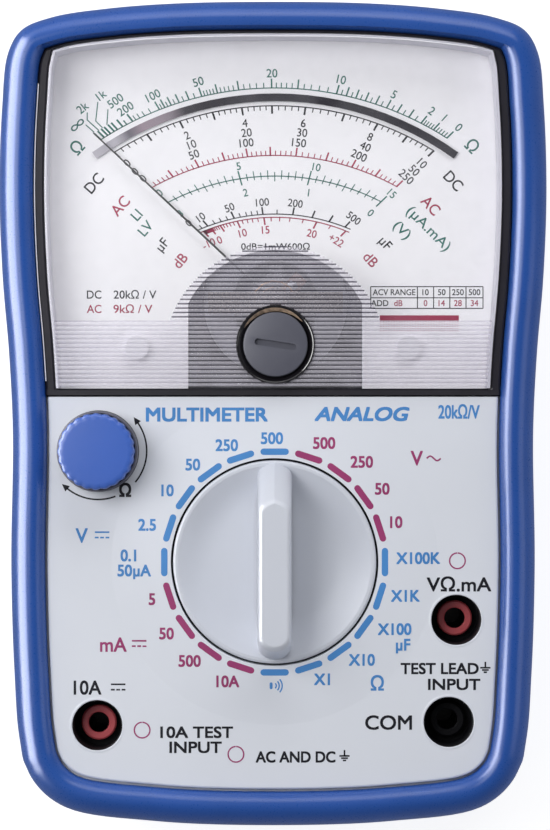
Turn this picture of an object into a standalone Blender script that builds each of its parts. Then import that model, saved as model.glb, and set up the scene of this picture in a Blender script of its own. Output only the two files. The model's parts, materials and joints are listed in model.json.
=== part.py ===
"""Analog multimeter in a rubber holster, lying on its back with the dial end towards +Y and its face up (+Z).

Every size below is in millimetres, measured from the centre of the holster's back face.
The helpers multiply by MM, so the objects themselves are in metres.
"""

import math

import bmesh
import bpy
from mathutils import Matrix, Vector

MM = 0.001
GAP = 0.3  # clearance left between two pieces that touch

# ---------------------------------------------------------------- driving dimensions
# Right half of the holster's outline seen from the front, from the top centre round to the bottom centre.
HALF_OUTLINE = [
    (0.0, 77.3), (18.2, 77.0), (31.4, 76.0), (41.5, 74.4), (47.2, 72.0), (49.8, 67.6), (50.9, 57.7),
    (51.4, 41.5), (50.8, 25.3), (49.6, 11.1), (48.9, -4.0), (49.2, -28.3), (48.6, -48.6),
    (47.5, -61.7), (45.1, -68.8), (39.0, -73.9), (22.3, -76.5), (0.0, -77.3),
]
OUTLINE_STEPS = 2  # points that the smooth outline gets for each point above
CORNER_REACH = 4 * OUTLINE_STEPS  # how far along the outline a tight corner is looked for
SAME_SIDE = math.cos(math.radians(8.0))  # normals closer than this don't make a corner

# An inset is one distance all round, or a (sides, top, bottom) triple.
HOLSTER_WALL = 2.9
LIP = (6.8, 5.8, 6.9)  # how far the holster's front lip reaches over the case
CASE_OUTER = HOLSTER_WALL + GAP
CASE_INNER = CASE_OUTER + 1.6
HOUSING_OUTER = CASE_INNER + GAP
HOUSING_INNER = (8.6, 6.4, 6.4)
WINDOW_OUTER = (8.9, 6.7, 6.7)
WINDOW_INNER = (10.1, 7.9, 7.9)

# Heights.
FLANGE_TOP = 3.2  # the holster's back flange
CASE_BACK = FLANGE_TOP + GAP
FLOOR_TOP = CASE_BACK + 2.0
REAR_CASE_TOP = 22.0
FRONT_CASE_BOTTOM = REAR_CASE_TOP + GAP
BOARD = (23.6, 25.2)
HOUSING_FLOOR = (25.6, 26.8)
DIAL = (27.1, 27.6)
PANEL = (32.2, 34.2)
CASE_WALL_TOP = 33.9
LIP_UNDER = PANEL[1] + GAP
LIP_TOP = 36.7
WINDOW_UNDER = 34.9
WINDOW_TOP = 36.4

# Where the upper, dial part of the front meets the lower, white panel.
PANEL_EDGE = 3.1
HOUSING_EDGE = PANEL_EDGE + GAP
HOUSING_WALL_Y = 4.4
WINDOW_EDGE = HOUSING_WALL_Y + GAP

# Meter movement.
PIVOT = (0.45, 20.7)
REST_ANGLE = 46.9  # degrees from straight up to the pointer at its left-hand zero
POINTER_LENGTH = 46.9
YOKE = (13.0, 25.3)
YOKE_RADII = (8.2, 15.5)
ADJUSTER = (0.45, 12.8)
ADJUSTER_ECCENTRICITY = 1.0
SCALE_CENTRE = (0.4, 1.2)  # the dial's arcs share this centre
MIRROR_RADII = (57.6, 59.05)
MIRROR_HALF_ANGLE = 35.7
DIAL_SCREW_X = 25.6
DIAL_SCREW_Y = 12.4

# Range selector.
SELECTOR = (0.3, -27.6)
KNOB_RADIUS = 18.9
PANEL_HOLE_RADIUS = 19.3
ROTOR_RADIUS = 20.5
ROTOR = (29.4, 31.9)
RANGE_POSITIONS = 20
DETENT_RADIUS = 21.7
DETENT_DEPTH = 0.3
BALL_HEIGHT = 27.9
HANDLE_TOP = 45.5

# Zero-ohm knob.
OHM_KNOB = (-32.5, -7.0)
OHM_KNOB_RADIUS = 7.2
OHM_KNOB_TOP = 42.5

# Input sockets: name, place and sleeve colour.
JACKS = [
    ("volt", (34.1, -38.4), "red_plastic"),
    ("common", (32.7, -57.4), "black_plastic"),
    ("10a", (-32.7, -58.0), "red_plastic"),
]
JACK_MOUTH_RADIUS = 4.68
JACK_BORE_RADIUS = 2.0

# Fasteners that hold the two halves of the case and the circuit board.
CASE_SCREWS = [(-41.5, 64.5), (41.5, 64.5), (-37.5, -66.0), (37.5, -66.0)]
BOARD_SCREWS = [("left", (-18.0, -68.5)), ("right", (18.0, -68.5))]

# Battery bay, inside its walls.
BAY_X = 28.6
BAY_Y = (-64.4, -3.6)
BAY_WALL = 1.2
BAY_TOP = 21.0
DIVIDER_Y = -35.0
AA_RADIUS = 7.1

# Tilt stand.
STAND_AXIS = (0.0, 40.0, 1.65)
STAND_THICKNESS = (0.4, 2.9)

# name: (red, green, blue, roughness, metallic)
COLOURS = {
    "blue_rubber": (0.045, 0.16, 0.56, 0.45, 0.0),
    "panel_plastic": (0.68, 0.72, 0.80, 0.45, 0.0),
    "grey_plastic": (0.20, 0.22, 0.25, 0.5, 0.0),
    "black_plastic": (0.02, 0.02, 0.025, 0.45, 0.0),
    "blue_plastic": (0.04, 0.17, 0.60, 0.35, 0.0),
    "red_plastic": (0.60, 0.03, 0.03, 0.4, 0.0),
    "clear_plastic": (0.92, 0.94, 0.97, 0.1, 0.0),
    "dial_white": (0.75, 0.75, 0.80, 0.5, 0.0),
    "mirror": (0.85, 0.85, 0.88, 0.05, 1.0),
    "needle_black": (0.01, 0.01, 0.01, 0.5, 0.0),
    "copper": (0.75, 0.33, 0.18, 0.35, 1.0),
    "brass": (0.80, 0.62, 0.28, 0.3, 1.0),
    "bronze": (0.62, 0.38, 0.20, 0.3, 1.0),
    "steel": (0.62, 0.62, 0.64, 0.35, 1.0),
    "nickel": (0.75, 0.73, 0.70, 0.25, 1.0),
    "magnet": (0.30, 0.30, 0.32, 0.4, 1.0),
    "board_green": (0.04, 0.22, 0.09, 0.5, 0.0),
    "fuse_glass": (0.85, 0.88, 0.88, 0.15, 0.0),
    "battery_jacket": (0.08, 0.09, 0.12, 0.35, 0.0),
}


# ---------------------------------------------------------------- scene and materials
def new_collection(name, hidden=False):
    collection = bpy.data.collections.new(name)
    collection.hide_render = hidden
    bpy.context.scene.collection.children.link(collection)
    return collection


def clear_scene():
    for obj in list(bpy.data.objects):
        bpy.data.objects.remove(obj, do_unlink=True)


clear_scene()
PARTS = new_collection("analog_multimeter")
CUTTERS = new_collection("cutters", hidden=True)


def material(name):
    """The Principled material of that name, made the first time it is asked for."""
    if name in bpy.data.materials:
        return bpy.data.materials[name]
    red, green, blue, roughness, metallic = COLOURS[name]
    made = bpy.data.materials.new(name)
    made.use_nodes = True
    shader = made.node_tree.nodes["Principled BSDF"]
    shader.inputs["Base Color"].default_value = (red, green, blue, 1.0)
    shader.inputs["Roughness"].default_value = roughness
    shader.inputs["Metallic"].default_value = metallic
    made.diffuse_color = (red, green, blue, 1.0)
    return made


def finish(obj, colour):
    """Gives a sub-part its material and smooth shading that keeps its corners sharp."""
    obj.data.materials.clear()
    obj.data.materials.append(material(colour))
    if obj.type == "MESH":
        obj.data.shade_smooth()
        obj.data.set_sharp_from_angle(angle=math.radians(35))
    return obj


# ---------------------------------------------------------------- solids
def place(name, data, at=(0.0, 0.0, 0.0), rotation=(0.0, 0.0, 0.0)):
    obj = bpy.data.objects.new(name, data)
    obj.location = Vector(at) * MM
    obj.rotation_euler = rotation
    PARTS.objects.link(obj)
    return obj


def from_bmesh(name, bm, at=(0.0, 0.0, 0.0), rotation=(0.0, 0.0, 0.0)):
    bmesh.ops.recalc_face_normals(bm, faces=bm.faces)
    mesh = bpy.data.meshes.new(name)
    bm.to_mesh(mesh)
    bm.free()
    return place(name, mesh, at, rotation)


def box(name, low, high, rounding=0.0):
    """A box between two corners, with its vertical edges rounded on request."""
    low, high = Vector(low), Vector(high)
    bm = bmesh.new()
    bmesh.ops.create_cube(bm, size=1.0, matrix=Matrix.Diagonal((*(high - low) * MM, 1.0)))
    if rounding:
        upright = [edge for edge in bm.edges if abs((edge.verts[0].co - edge.verts[1].co).z) > 0.0]
        bmesh.ops.bevel(bm, geom=upright, offset=rounding * MM, segments=3, affect="EDGES", profile=0.5)
    return from_bmesh(name, bm, (low + high) / 2)


def cylinder(name, radius, span, at, along="Z", sides=24, top_radius=None):
    """A cylinder or cone. span is its extent along its axis, and at is its other two coordinates."""
    bm = bmesh.new()
    bmesh.ops.create_cone(
        bm,
        cap_ends=True,
        segments=sides,
        radius1=radius * MM,
        radius2=(radius if top_radius is None else top_radius) * MM,
        depth=(span[1] - span[0]) * MM,
    )
    middle = (span[0] + span[1]) / 2
    first, second = at
    centre = {"X": (middle, first, second), "Y": (first, middle, second), "Z": (first, second, middle)}[along]
    rotation = {"X": (0.0, math.pi / 2, 0.0), "Y": (-math.pi / 2, 0.0, 0.0), "Z": (0.0, 0.0, 0.0)}[along]
    return from_bmesh(name, bm, centre, rotation)


def turned(name, profile, at, steps=24, rotation=(0.0, 0.0, 0.0)):
    """A turned shape: (radius, height) points down its outer side, closed on the axis or as a ring."""
    mesh = bpy.data.meshes.new(name)
    points = [(radius * MM, 0.0, height * MM) for radius, height in profile]
    edges = [(index, index + 1) for index in range(len(points) - 1)]
    if profile[0][0] > 0.0:
        edges.append((len(points) - 1, 0))
    mesh.from_pydata(points, edges, [])
    obj = place(name, mesh, at, rotation)
    screw = obj.modifiers.new("Turn", "SCREW")
    screw.steps = steps
    screw.render_steps = steps
    screw.use_merge_vertices = True
    screw.merge_threshold = 0.00001
    return obj


def as_mesh(obj):
    """Turns a curve object, or a mesh with modifiers, into a plain mesh object with its caps welded."""
    bpy.context.view_layer.update()
    graph = bpy.context.evaluated_depsgraph_get()
    mesh = bpy.data.meshes.new_from_object(obj.evaluated_get(graph))
    bm = bmesh.new()
    bm.from_mesh(mesh)
    bmesh.ops.remove_doubles(bm, verts=bm.verts, dist=0.000001)
    bmesh.ops.recalc_face_normals(bm, faces=bm.faces)
    bm.to_mesh(mesh)
    bm.free()
    name = obj.name
    solid = bpy.data.objects.new(name + "_mesh", mesh)
    solid.matrix_world = obj.matrix_world
    PARTS.objects.link(solid)
    bpy.data.objects.remove(obj, do_unlink=True)
    solid.name = name
    return solid


def sheet(name, loops, span, at=(0.0, 0.0)):
    """A flat outline with optional holes, extruded over the heights of span."""
    curve = bpy.data.curves.new(name, "CURVE")
    curve.dimensions = "2D"
    curve.fill_mode = "BOTH"
    curve.extrude = (span[1] - span[0]) / 2 * MM
    for loop in loops:
        spline = curve.splines.new("POLY")
        spline.points.add(len(loop) - 1)
        for point, (x, y) in zip(spline.points, loop):
            point.co = (x * MM, y * MM, 0.0, 1.0)
        spline.use_cyclic_u = True
    return as_mesh(place(name, curve, (at[0], at[1], (span[0] + span[1]) / 2)))


def wire(name, points, radius, resolution=0):
    """A round wire along the given points."""
    curve = bpy.data.curves.new(name, "CURVE")
    curve.dimensions = "3D"
    curve.bevel_depth = radius * MM
    curve.bevel_resolution = resolution
    curve.use_fill_caps = True
    spline = curve.splines.new("POLY")
    spline.points.add(len(points) - 1)
    for point, place_mm in zip(spline.points, points):
        point.co = (*(Vector(place_mm) * MM), 1.0)
    return as_mesh(place(name, curve))


def boolean(target, operation, others):
    for other in others:
        modifier = target.modifiers.new(operation.title(), "BOOLEAN")
        modifier.operation = operation
        modifier.object = other
        for holder in list(other.users_collection):
            holder.objects.unlink(other)
        CUTTERS.objects.link(other)
        other.hide_render = True
        other.display_type = "WIRE"
    return target


def cut(target, *cutters):
    return boolean(target, "DIFFERENCE", cutters)


def join(target, *others):
    return boolean(target, "UNION", others)


def circle(radius, centre=(0.0, 0.0), count=24, start=0.0, end=360.0):
    """Points on a circle or, with an end under 360 degrees past start, on an arc that includes both ends."""
    whole = end - start >= 360.0
    steps = count if whole else count - 1
    angles = [math.radians(start + (end - start) * index / steps) for index in range(count)]
    return [(centre[0] + radius * math.cos(a), centre[1] + radius * math.sin(a)) for a in angles]


# ---------------------------------------------------------------- the outline that every shell follows
def spline_point(before, start, end, after, t):
    """A centripetal Catmull-Rom curve from start (t = 0) to end (t = 1)."""
    knots = [0.0]
    for one, other in ((before, start), (start, end), (end, after)):
        knots.append(knots[-1] + math.sqrt((other - one).length))
    at = knots[1] + (knots[2] - knots[1]) * t

    def blend(first, last, low, high):
        return first * ((high - at) / (high - low)) + last * ((at - low) / (high - low))

    a1 = blend(before, start, knots[0], knots[1])
    a2 = blend(start, end, knots[1], knots[2])
    a3 = blend(end, after, knots[2], knots[3])
    return blend(blend(a1, a2, knots[0], knots[2]), blend(a2, a3, knots[1], knots[3]), knots[1], knots[2])


def smooth_outline():
    """Places and outward normals round the whole outline, anticlockwise seen from the front."""
    right = [Vector(point) for point in HALF_OUTLINE]
    left = [Vector((-point.x, point.y)) for point in right[1:-1]]
    corners = left + right[::-1]
    count = len(corners)
    places = []
    for index in range(count):
        around = [corners[(index + offset) % count] for offset in (-1, 0, 1, 2)]
        places += [spline_point(*around, step / OUTLINE_STEPS) for step in range(OUTLINE_STEPS)]
    normals = []
    for index in range(len(places)):
        along = places[(index + 1) % len(places)] - places[index - 1]
        normals.append(Vector((along.y, -along.x)).normalized())
    return list(zip(places, normals))


OUTLINE = smooth_outline()


def folded(ring, index):
    """Whether a corner too tight for the inset has turned this point of the ring inside out."""
    normal = OUTLINE[index][1]
    for offset in range(-CORNER_REACH, CORNER_REACH + 1):
        other = (index + offset) % len(ring)
        other_normal = OUTLINE[other][1]
        if normal.dot(other_normal) < SAME_SIDE and (ring[index] - ring[other]).dot(other_normal) > 0.02:
            return True
    return False


def inset_ring(inset):
    """The outline moved inwards by an inset. A corner too tight for it becomes a small chamfer."""
    ring = []
    for place_mm, normal in OUTLINE:
        distance = inset
        if isinstance(inset, tuple):
            sides, top, bottom = inset
            distance = sides * normal.x**2 + (top if normal.y > 0.0 else bottom) * normal.y**2
        ring.append(place_mm - normal * distance)
    count = len(ring)
    kept = [index for index in range(count) if not folded(ring, index)]
    for first, last in zip(kept, kept[1:] + [kept[0] + count]):
        for index in range(first + 1, last):
            ring[index % count] = ring[first].lerp(ring[last % count], (index - first) / (last - first))
    return ring


def shell(name, rings, above=None, below=None):
    """A solid lofted through (inset, height) rings, cut off along a line across it on request."""
    bm = bmesh.new()
    rows = []
    for inset, height in rings:
        rows.append([bm.verts.new((p.x * MM, p.y * MM, height * MM)) for p in inset_ring(inset)])
    count = len(OUTLINE)
    for low, high in zip(rows, rows[1:]):
        for index in range(count):
            after = (index + 1) % count
            bm.faces.new((low[index], low[after], high[after], high[index]))
    bm.faces.new(rows[0][::-1])
    bm.faces.new(rows[-1])
    for level, side in ((above, -1.0), (below, 1.0)):
        if level is None:
            continue
        everything = bm.verts[:] + bm.edges[:] + bm.faces[:]
        split = bmesh.ops.bisect_plane(
            bm,
            geom=everything,
            dist=1e-7,
            plane_co=(0.0, level * MM, 0.0),
            plane_no=(0.0, side, 0.0),
            clear_outer=True,
        )
        edges = [item for item in split["geom_cut"] if isinstance(item, bmesh.types.BMEdge)]
        bmesh.ops.contextual_create(bm, geom=edges)
    return from_bmesh(name, bm)


# ---------------------------------------------------------------- joint axes
def axis_empty(name, at, turn=0.0):
    """An empty on a joint's axis, turned about Z by an angle in degrees."""
    empty = bpy.data.objects.new(name, None)
    empty.location = Vector(at) * MM
    empty.rotation_euler = (0.0, 0.0, math.radians(turn))
    empty.empty_display_size = 5 * MM
    PARTS.objects.link(empty)
    return empty


def carry(empty, *pieces):
    """Parents pieces modelled about the axis to its empty, with the helpers that cut or join them."""
    for piece in pieces:
        piece.parent = empty
        operands = [modifier.object for modifier in piece.modifiers if modifier.type == "BOOLEAN"]
        carry(empty, *operands)


# ---------------------------------------------------------------- holster and tilt stand
def rubber_holster():
    lip_inside = tuple(width + 1.0 for width in LIP)
    holster = shell(
        "rubber_holster",
        [
            (2.2, 0.0), (0.9, 1.4), (0.4, 6.0), (0.0, 16.0), (0.0, 28.0),
            (0.6, 32.6), (1.9, 35.4), (3.4, LIP_TOP), (4.3, 36.5), (lip_inside, 35.4),
        ],
    )
    case_space = shell("holster_case_space", [(HOLSTER_WALL, FLANGE_TOP), (HOLSTER_WALL, LIP_UNDER)])
    lip_opening = shell("holster_lip_opening", [(LIP, LIP_UNDER - 1.0), (LIP, LIP_TOP + 2.0)])
    opening_low, opening_high = (-34.0, -58.0, -1.0), (34.0, 54.0, FLANGE_TOP + 1.0)
    back_opening = box("holster_back_opening", opening_low, opening_high, rounding=8.0)
    cut(holster, case_space, lip_opening, back_opening)
    for side in (-1, 1):
        edges = sorted((side * 33.0, side * 37.3))
        slot = box(
            f"holster_stand_slot_{side}",
            (edges[0], STAND_AXIS[1] - 1.3, 0.4),
            (edges[1], STAND_AXIS[1] + 1.3, FLANGE_TOP + 1.0),
        )
        cut(holster, slot)
    return finish(holster, "blue_rubber")


def tilt_stand():
    """A flat frame that turns on its two side pins, folded into the holster's back opening."""
    empty = axis_empty("stand_axis", STAND_AXIS)
    low, high = (height - STAND_AXIS[2] for height in STAND_THICKNESS)
    stand = box("tilt_stand", (-32.0, -80.0, low), (32.0, 0.9, high))
    window = box("stand_window", (-23.0, -66.0, low - 1.0), (23.0, -10.0, high + 1.0), rounding=5.0)
    pins = cylinder("stand_pins", 0.95, (-36.7, 36.7), (0.0, 0.0), along="X", sides=16)
    cut(stand, window)
    join(stand, pins)
    carry(empty, stand)
    return finish(stand, "grey_plastic")


# ---------------------------------------------------------------- case
def front_case():
    case = shell("front_case", [(CASE_OUTER, FRONT_CASE_BOTTOM), (CASE_OUTER, CASE_WALL_TOP)])
    inside = shell("front_case_inside", [(CASE_INNER, 20.0), (CASE_INNER, 40.0)])
    plate_inset = (CASE_OUTER + CASE_INNER) / 2
    plate = shell("front_case_plate", [(plate_inset, PANEL[0]), (plate_inset, PANEL[1])], below=PANEL_EDGE)
    cone = cylinder("front_case_cone", 30.2, (33.2, 35.0), SELECTOR, sides=48, top_radius=20.4)
    cut(case, inside)
    join(case, plate, cone)

    ring = [circle(23.6, count=48), detent_ring()]
    join(case, sheet("front_case_detent", ring, (25.6, PANEL[0] + 0.5), SELECTOR))
    for number, (x, y) in enumerate(CASE_SCREWS):
        top = PANEL[0] + 0.5 if y < 0 else HOUSING_FLOOR[0] - GAP
        join(case, cylinder(f"front_case_boss_{number}", 3.4, (FRONT_CASE_BOTTOM, top), (x, y), sides=16))
        if y > 0:
            edges = sorted((x, math.copysign(46.2, x)))
            rib = box(f"front_case_rib_{number}", (edges[0], y - 1.2, 22.6), (edges[1], y + 1.2, 24.9))
            join(case, rib)
    for side, (x, y) in BOARD_SCREWS:
        post_span = (BOARD[1] + GAP, PANEL[0] + 0.5)
        join(case, cylinder(f"front_case_post_{side}", 2.6, post_span, (x, y), sides=16))
    for name, at, _ in JACKS:
        join(case, cylinder(f"front_case_shroud_{name}", 5.9, (26.9, PANEL[0] + 0.5), at, sides=24))

    cutters = [cylinder("front_case_selector_hole", PANEL_HOLE_RADIUS, (30.0, 40.0), SELECTOR, sides=48)]
    cutters.append(cylinder("front_case_ohm_hole", OHM_KNOB_RADIUS + 0.4, (30.0, 40.0), OHM_KNOB, sides=32))
    for name, at, _ in JACKS:
        cutters.append(cylinder(f"front_case_mouth_{name}", JACK_MOUTH_RADIUS, (25.0, 40.0), at, sides=24))
    for number, (x, y) in enumerate(CASE_SCREWS):
        cutters.append(cylinder(f"front_case_thread_{number}", 1.55, (20.0, 25.05), (x, y), sides=12))
    for side, at in BOARD_SCREWS:
        cutters.append(cylinder(f"front_case_post_bore_{side}", 1.3, (20.0, 31.5), at, sides=12))
    cut(case, *cutters)
    return finish(case, "panel_plastic")


def detent_ring():
    """The wavy inside of the ring that the detent ball clicks along, one notch to each range."""
    points = []
    for index in range(RANGE_POSITIONS * 4):
        angle = 2 * math.pi * index / (RANGE_POSITIONS * 4)
        radius = DETENT_RADIUS + DETENT_DEPTH * math.cos(RANGE_POSITIONS * angle)
        points.append((radius * math.cos(angle), radius * math.sin(angle)))
    return points


def rear_case():
    case = shell(
        "rear_case",
        [(CASE_OUTER + 1.2, CASE_BACK), (CASE_OUTER, CASE_BACK + 1.2), (CASE_OUTER, REAR_CASE_TOP)],
    )
    inside = shell("rear_case_inside", [(CASE_INNER, FLOOR_TOP), (CASE_INNER, 30.0)])
    cut(case, inside)
    bay = box(
        "rear_case_bay",
        (-BAY_X - BAY_WALL, BAY_Y[0] - BAY_WALL, FLOOR_TOP - 0.5),
        (BAY_X + BAY_WALL, BAY_Y[1] + BAY_WALL, BAY_TOP),
    )
    join(case, bay)
    for number, at in enumerate(CASE_SCREWS):
        join(case, cylinder(f"rear_case_boss_{number}", 4.0, (FLOOR_TOP - 0.5, 21.7), at, sides=20))
    join(case, cylinder("rear_case_door_boss", 3.2, (FLOOR_TOP - 0.5, 13.0), (0.0, 0.6), sides=16))
    bay_space = box("rear_case_bay_space", (-BAY_X, BAY_Y[0], 2.0), (BAY_X, BAY_Y[1], 30.0))
    tab_recess = box("rear_case_tab_recess", (-5.3, BAY_Y[1] - 1.0, 2.0), (5.3, 4.0, 4.9))
    cutters = [bay_space, tab_recess, cylinder("rear_case_door_bore", 1.2, (2.0, 11.6), (0.0, 0.6), sides=12)]
    for number, at in enumerate(CASE_SCREWS):
        cutters.append(cylinder(f"rear_case_bore_{number}", 1.55, (2.0, 30.0), at, sides=12))
        cutters.append(cylinder(f"rear_case_counterbore_{number}", 2.9, (2.0, 7.2), at, sides=16))
    cut(case, *cutters)
    divider = box(
        "rear_case_divider", (-BAY_X - 0.6, DIVIDER_Y - 0.5, 5.9), (BAY_X + 0.6, DIVIDER_Y + 0.5, 18.0)
    )
    join(case, divider)
    return finish(case, "panel_plastic")


def case_screws():
    for number, (x, y) in enumerate(CASE_SCREWS, start=1):
        profile = [(0.0, 24.7), (1.25, 24.7), (1.25, 6.8), (2.6, 6.8), (2.6, 4.9), (0.0, 4.9)]
        finish(turned(f"case_screw_{number}", profile, (x, y, 0.0), steps=12), "steel")


def battery_door():
    door = box("battery_door", (-BAY_X + GAP, BAY_Y[0] + GAP, CASE_BACK), (BAY_X - GAP, BAY_Y[1] - GAP, 5.3))
    tab = box("battery_door_tab", (-5.0, BAY_Y[1] - 2.0, CASE_BACK + 0.05), (5.0, 3.7, 4.6))
    join(door, tab)
    for row in range(5):
        y = -12.0 - 4.0 * row
        cut(door, box(f"battery_door_groove_{row}", (-14.0, y - 0.8, 2.0), (14.0, y + 0.8, 4.0)))
    cut(door, cylinder("battery_door_hole", 1.2, (2.0, 6.0), (0.0, 0.6), sides=12))
    finish(door, "panel_plastic")
    profile = [(0.0, 11.0), (0.9, 11.0), (0.9, 3.2), (2.2, 3.2), (2.2, 2.2), (0.0, 2.2)]
    finish(turned("battery_door_screw", profile, (0.0, 0.6, 0.0), steps=16), "steel")


# ---------------------------------------------------------------- meter housing, dial and window
def meter_housing():
    housing = shell(
        "meter_housing", [(HOUSING_OUTER, HOUSING_FLOOR[0]), (HOUSING_OUTER, PANEL[1])], above=HOUSING_EDGE
    )
    inside_rings = [(HOUSING_INNER, HOUSING_FLOOR[1]), (HOUSING_INNER, 40.0)]
    inside = shell("meter_housing_inside", inside_rings, above=HOUSING_WALL_Y)
    cut(housing, inside, cylinder("meter_housing_movement_hole", 13.5, (24.0, 28.0), PIVOT, sides=32))
    for side in (-1, 1):
        at = (side * DIAL_SCREW_X, DIAL_SCREW_Y)
        cut(housing, cylinder(f"meter_housing_screw_hole_{side}", 1.4, (24.0, 28.0), at, sides=12))
    return finish(housing, "black_plastic")


def dial_plate():
    """The printed plate, with an arched cut-out at the foot for the movement."""
    dial = shell("dial_plate", [(WINDOW_OUTER, DIAL[0]), (WINDOW_OUTER, DIAL[1])], above=WINDOW_EDGE)
    arch = circle(18.4, (0.4, 12.4), count=15, start=27.0, end=153.0)
    outline = [(16.8, 0.0)] + arch + [(-16.0, 0.0)]
    opening = sheet("dial_opening", [outline], (DIAL[0] - 1.0, DIAL[1] + 1.0))
    cut(dial, opening)
    for side in (-1, 1):
        at = (side * DIAL_SCREW_X, DIAL_SCREW_Y)
        cut(dial, cylinder(f"dial_screw_hole_{side}", 1.4, (26.0, 29.0), at, sides=12))
        name = "dial_screw_left" if side < 0 else "dial_screw_right"
        profile = [(0.0, 28.9), (2.2, 28.9), (2.2, 27.9), (1.1, 27.9), (1.1, 24.2), (0.0, 24.2)]
        finish(turned(name, profile, (*at, 0.0), steps=16), "nickel")
    return finish(dial, "dial_white")


def mirror_strip():
    start, end = 90.0 - MIRROR_HALF_ANGLE, 90.0 + MIRROR_HALF_ANGLE
    outer = circle(MIRROR_RADII[1], count=25, start=start, end=end)
    inner = circle(MIRROR_RADII[0], count=25, start=start, end=end)
    strip = sheet("mirror_strip", [outer + inner[::-1]], (27.9, 28.1), SCALE_CENTRE)
    return finish(strip, "mirror")


def meter_window():
    window = shell("meter_window", [(WINDOW_OUTER, 27.9), (WINDOW_OUTER, WINDOW_TOP)], above=WINDOW_EDGE)
    inside = shell(
        "meter_window_inside", [(WINDOW_INNER, 26.0), (WINDOW_INNER, WINDOW_UNDER)], above=WINDOW_EDGE + 1.2
    )
    boss = cylinder("meter_window_boss", 7.15, (33.9, 37.0), ADJUSTER, sides=32)
    cut(window, inside)
    join(window, boss)
    cut(
        window,
        cylinder("meter_window_cap_seat", 6.0, (35.4, 40.0), ADJUSTER, sides=32),
        cylinder("meter_window_stem_hole", 2.9, (30.0, 36.0), ADJUSTER, sides=20),
    )
    return finish(window, "clear_plastic")


def zero_adjuster():
    """The slotted cap in the window, with an eccentric pin below that works the zero lever."""
    empty = axis_empty("zero_adjuster_axis", (*ADJUSTER, 0.0))
    profile = [(0.0, 37.1), (5.3, 37.1), (5.7, 36.8), (5.7, 35.7), (2.6, 35.7), (2.6, 33.2), (0.0, 33.2)]
    adjuster = turned("zero_adjuster", profile, (0.0, 0.0, 0.0), steps=28)
    slot = box("zero_adjuster_slot", (-3.9, -0.55, 36.3), (3.9, 0.55, 38.0))
    slot.rotation_euler = (0.0, 0.0, math.radians(-8.7))
    pin = cylinder("zero_adjuster_pin", 0.5, (31.5, 33.6), (0.0, -ADJUSTER_ECCENTRICITY), sides=12)
    cut(adjuster, slot)
    join(adjuster, pin)
    carry(empty, adjuster)
    return finish(adjuster, "grey_plastic")


# ---------------------------------------------------------------- movement
def magnet_parts():
    yoke = turned(
        "magnet_yoke",
        [
            (YOKE_RADII[1], YOKE[1]), (YOKE_RADII[1], YOKE[0]),
            (YOKE_RADII[0], YOKE[0]), (YOKE_RADII[0], YOKE[1]),
        ],
        (*PIVOT, 0.0),
        steps=36,
    )
    finish(yoke, "steel")
    core = cylinder("magnet_core", 5.4, (14.2, 23.8), PIVOT, sides=28)
    wing_low = (PIVOT[0] - 1.5, PIVOT[1] - YOKE_RADII[0] + GAP, 16.0)
    wing_high = (PIVOT[0] + 1.5, PIVOT[1] + YOKE_RADII[0] - GAP, 22.0)
    join(core, box("magnet_core_wings", wing_low, wing_high))
    finish(core, "magnet")


def bridge(name, bar, legs, jewel_name, jewel):
    """A bar across the yoke on two legs, drilled for its jewel screw."""
    x, y = PIVOT
    span = box(name, (x - 12.6, y - 2.0, bar[0]), (x + 12.6, y + 2.0, bar[1]))
    for side in (-1, 1):
        edges = sorted((side * 11.2, side * 12.59))
        leg = box(f"{name}_leg_{side}", (x + edges[0], y - 1.9, legs[0]), (x + edges[1], y + 1.9, legs[1]))
        join(span, leg)
    cut(span, cylinder(f"{name}_hole", 1.6, (bar[0] - 1.0, bar[1] + 1.0), PIVOT, sides=16))
    finish(span, "brass")
    finish(turned(jewel_name, jewel, (x, y, 0.0), steps=16), "brass")


def bridges():
    front_jewel = [(0.0, 33.4), (2.2, 33.4), (2.2, 32.8), (1.3, 32.8), (1.3, 30.5), (0.0, 30.5)]
    rear_jewel = [(0.0, 9.6), (1.3, 9.6), (1.3, 7.6), (2.2, 7.6), (2.2, 7.0), (0.0, 7.0)]
    bridge("front_bridge", (30.4, 31.6), (YOKE[1] + GAP, 31.0), "front_jewel_screw", front_jewel)
    bridge("rear_bridge", (8.0, 9.2), (8.6, YOKE[0] - GAP), "rear_jewel_screw", rear_jewel)


def hairspring(name, height, turns=2.5, inner=1.6, outer=4.6):
    count = int(turns * 14)
    points = []
    for index in range(count + 1):
        angle = 2 * math.pi * turns * index / count
        radius = inner + (outer - inner) * index / count
        points.append((radius * math.cos(angle), radius * math.sin(angle), height))
    return finish(wire(name, points, 0.16), "bronze")


def zero_lever():
    """Turns about the front jewel screw; its fork holds the adjuster's pin."""
    empty = axis_empty("zero_lever_axis", (*PIVOT, 0.0))
    reach = PIVOT[1] - ADJUSTER[1] + ADJUSTER_ECCENTRICITY
    arm = [(-2.0, -1.5), (-1.6, -reach - 1.6), (1.6, -reach - 1.6), (2.0, -1.5)]
    lever = sheet("zero_lever", [circle(2.9, count=20)], (32.0, 32.5))
    join(lever, sheet("zero_lever_arm", [arm], (32.0, 32.5)))
    cut(
        lever,
        cylinder("zero_lever_hole", 1.6, (31.0, 33.5), (0.0, 0.0), sides=16),
        box("zero_lever_fork", (-0.7, -reach - 3.0, 31.0), (0.7, -reach + 1.3, 33.5)),
    )
    carry(empty, lever)
    return finish(lever, "brass")


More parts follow.
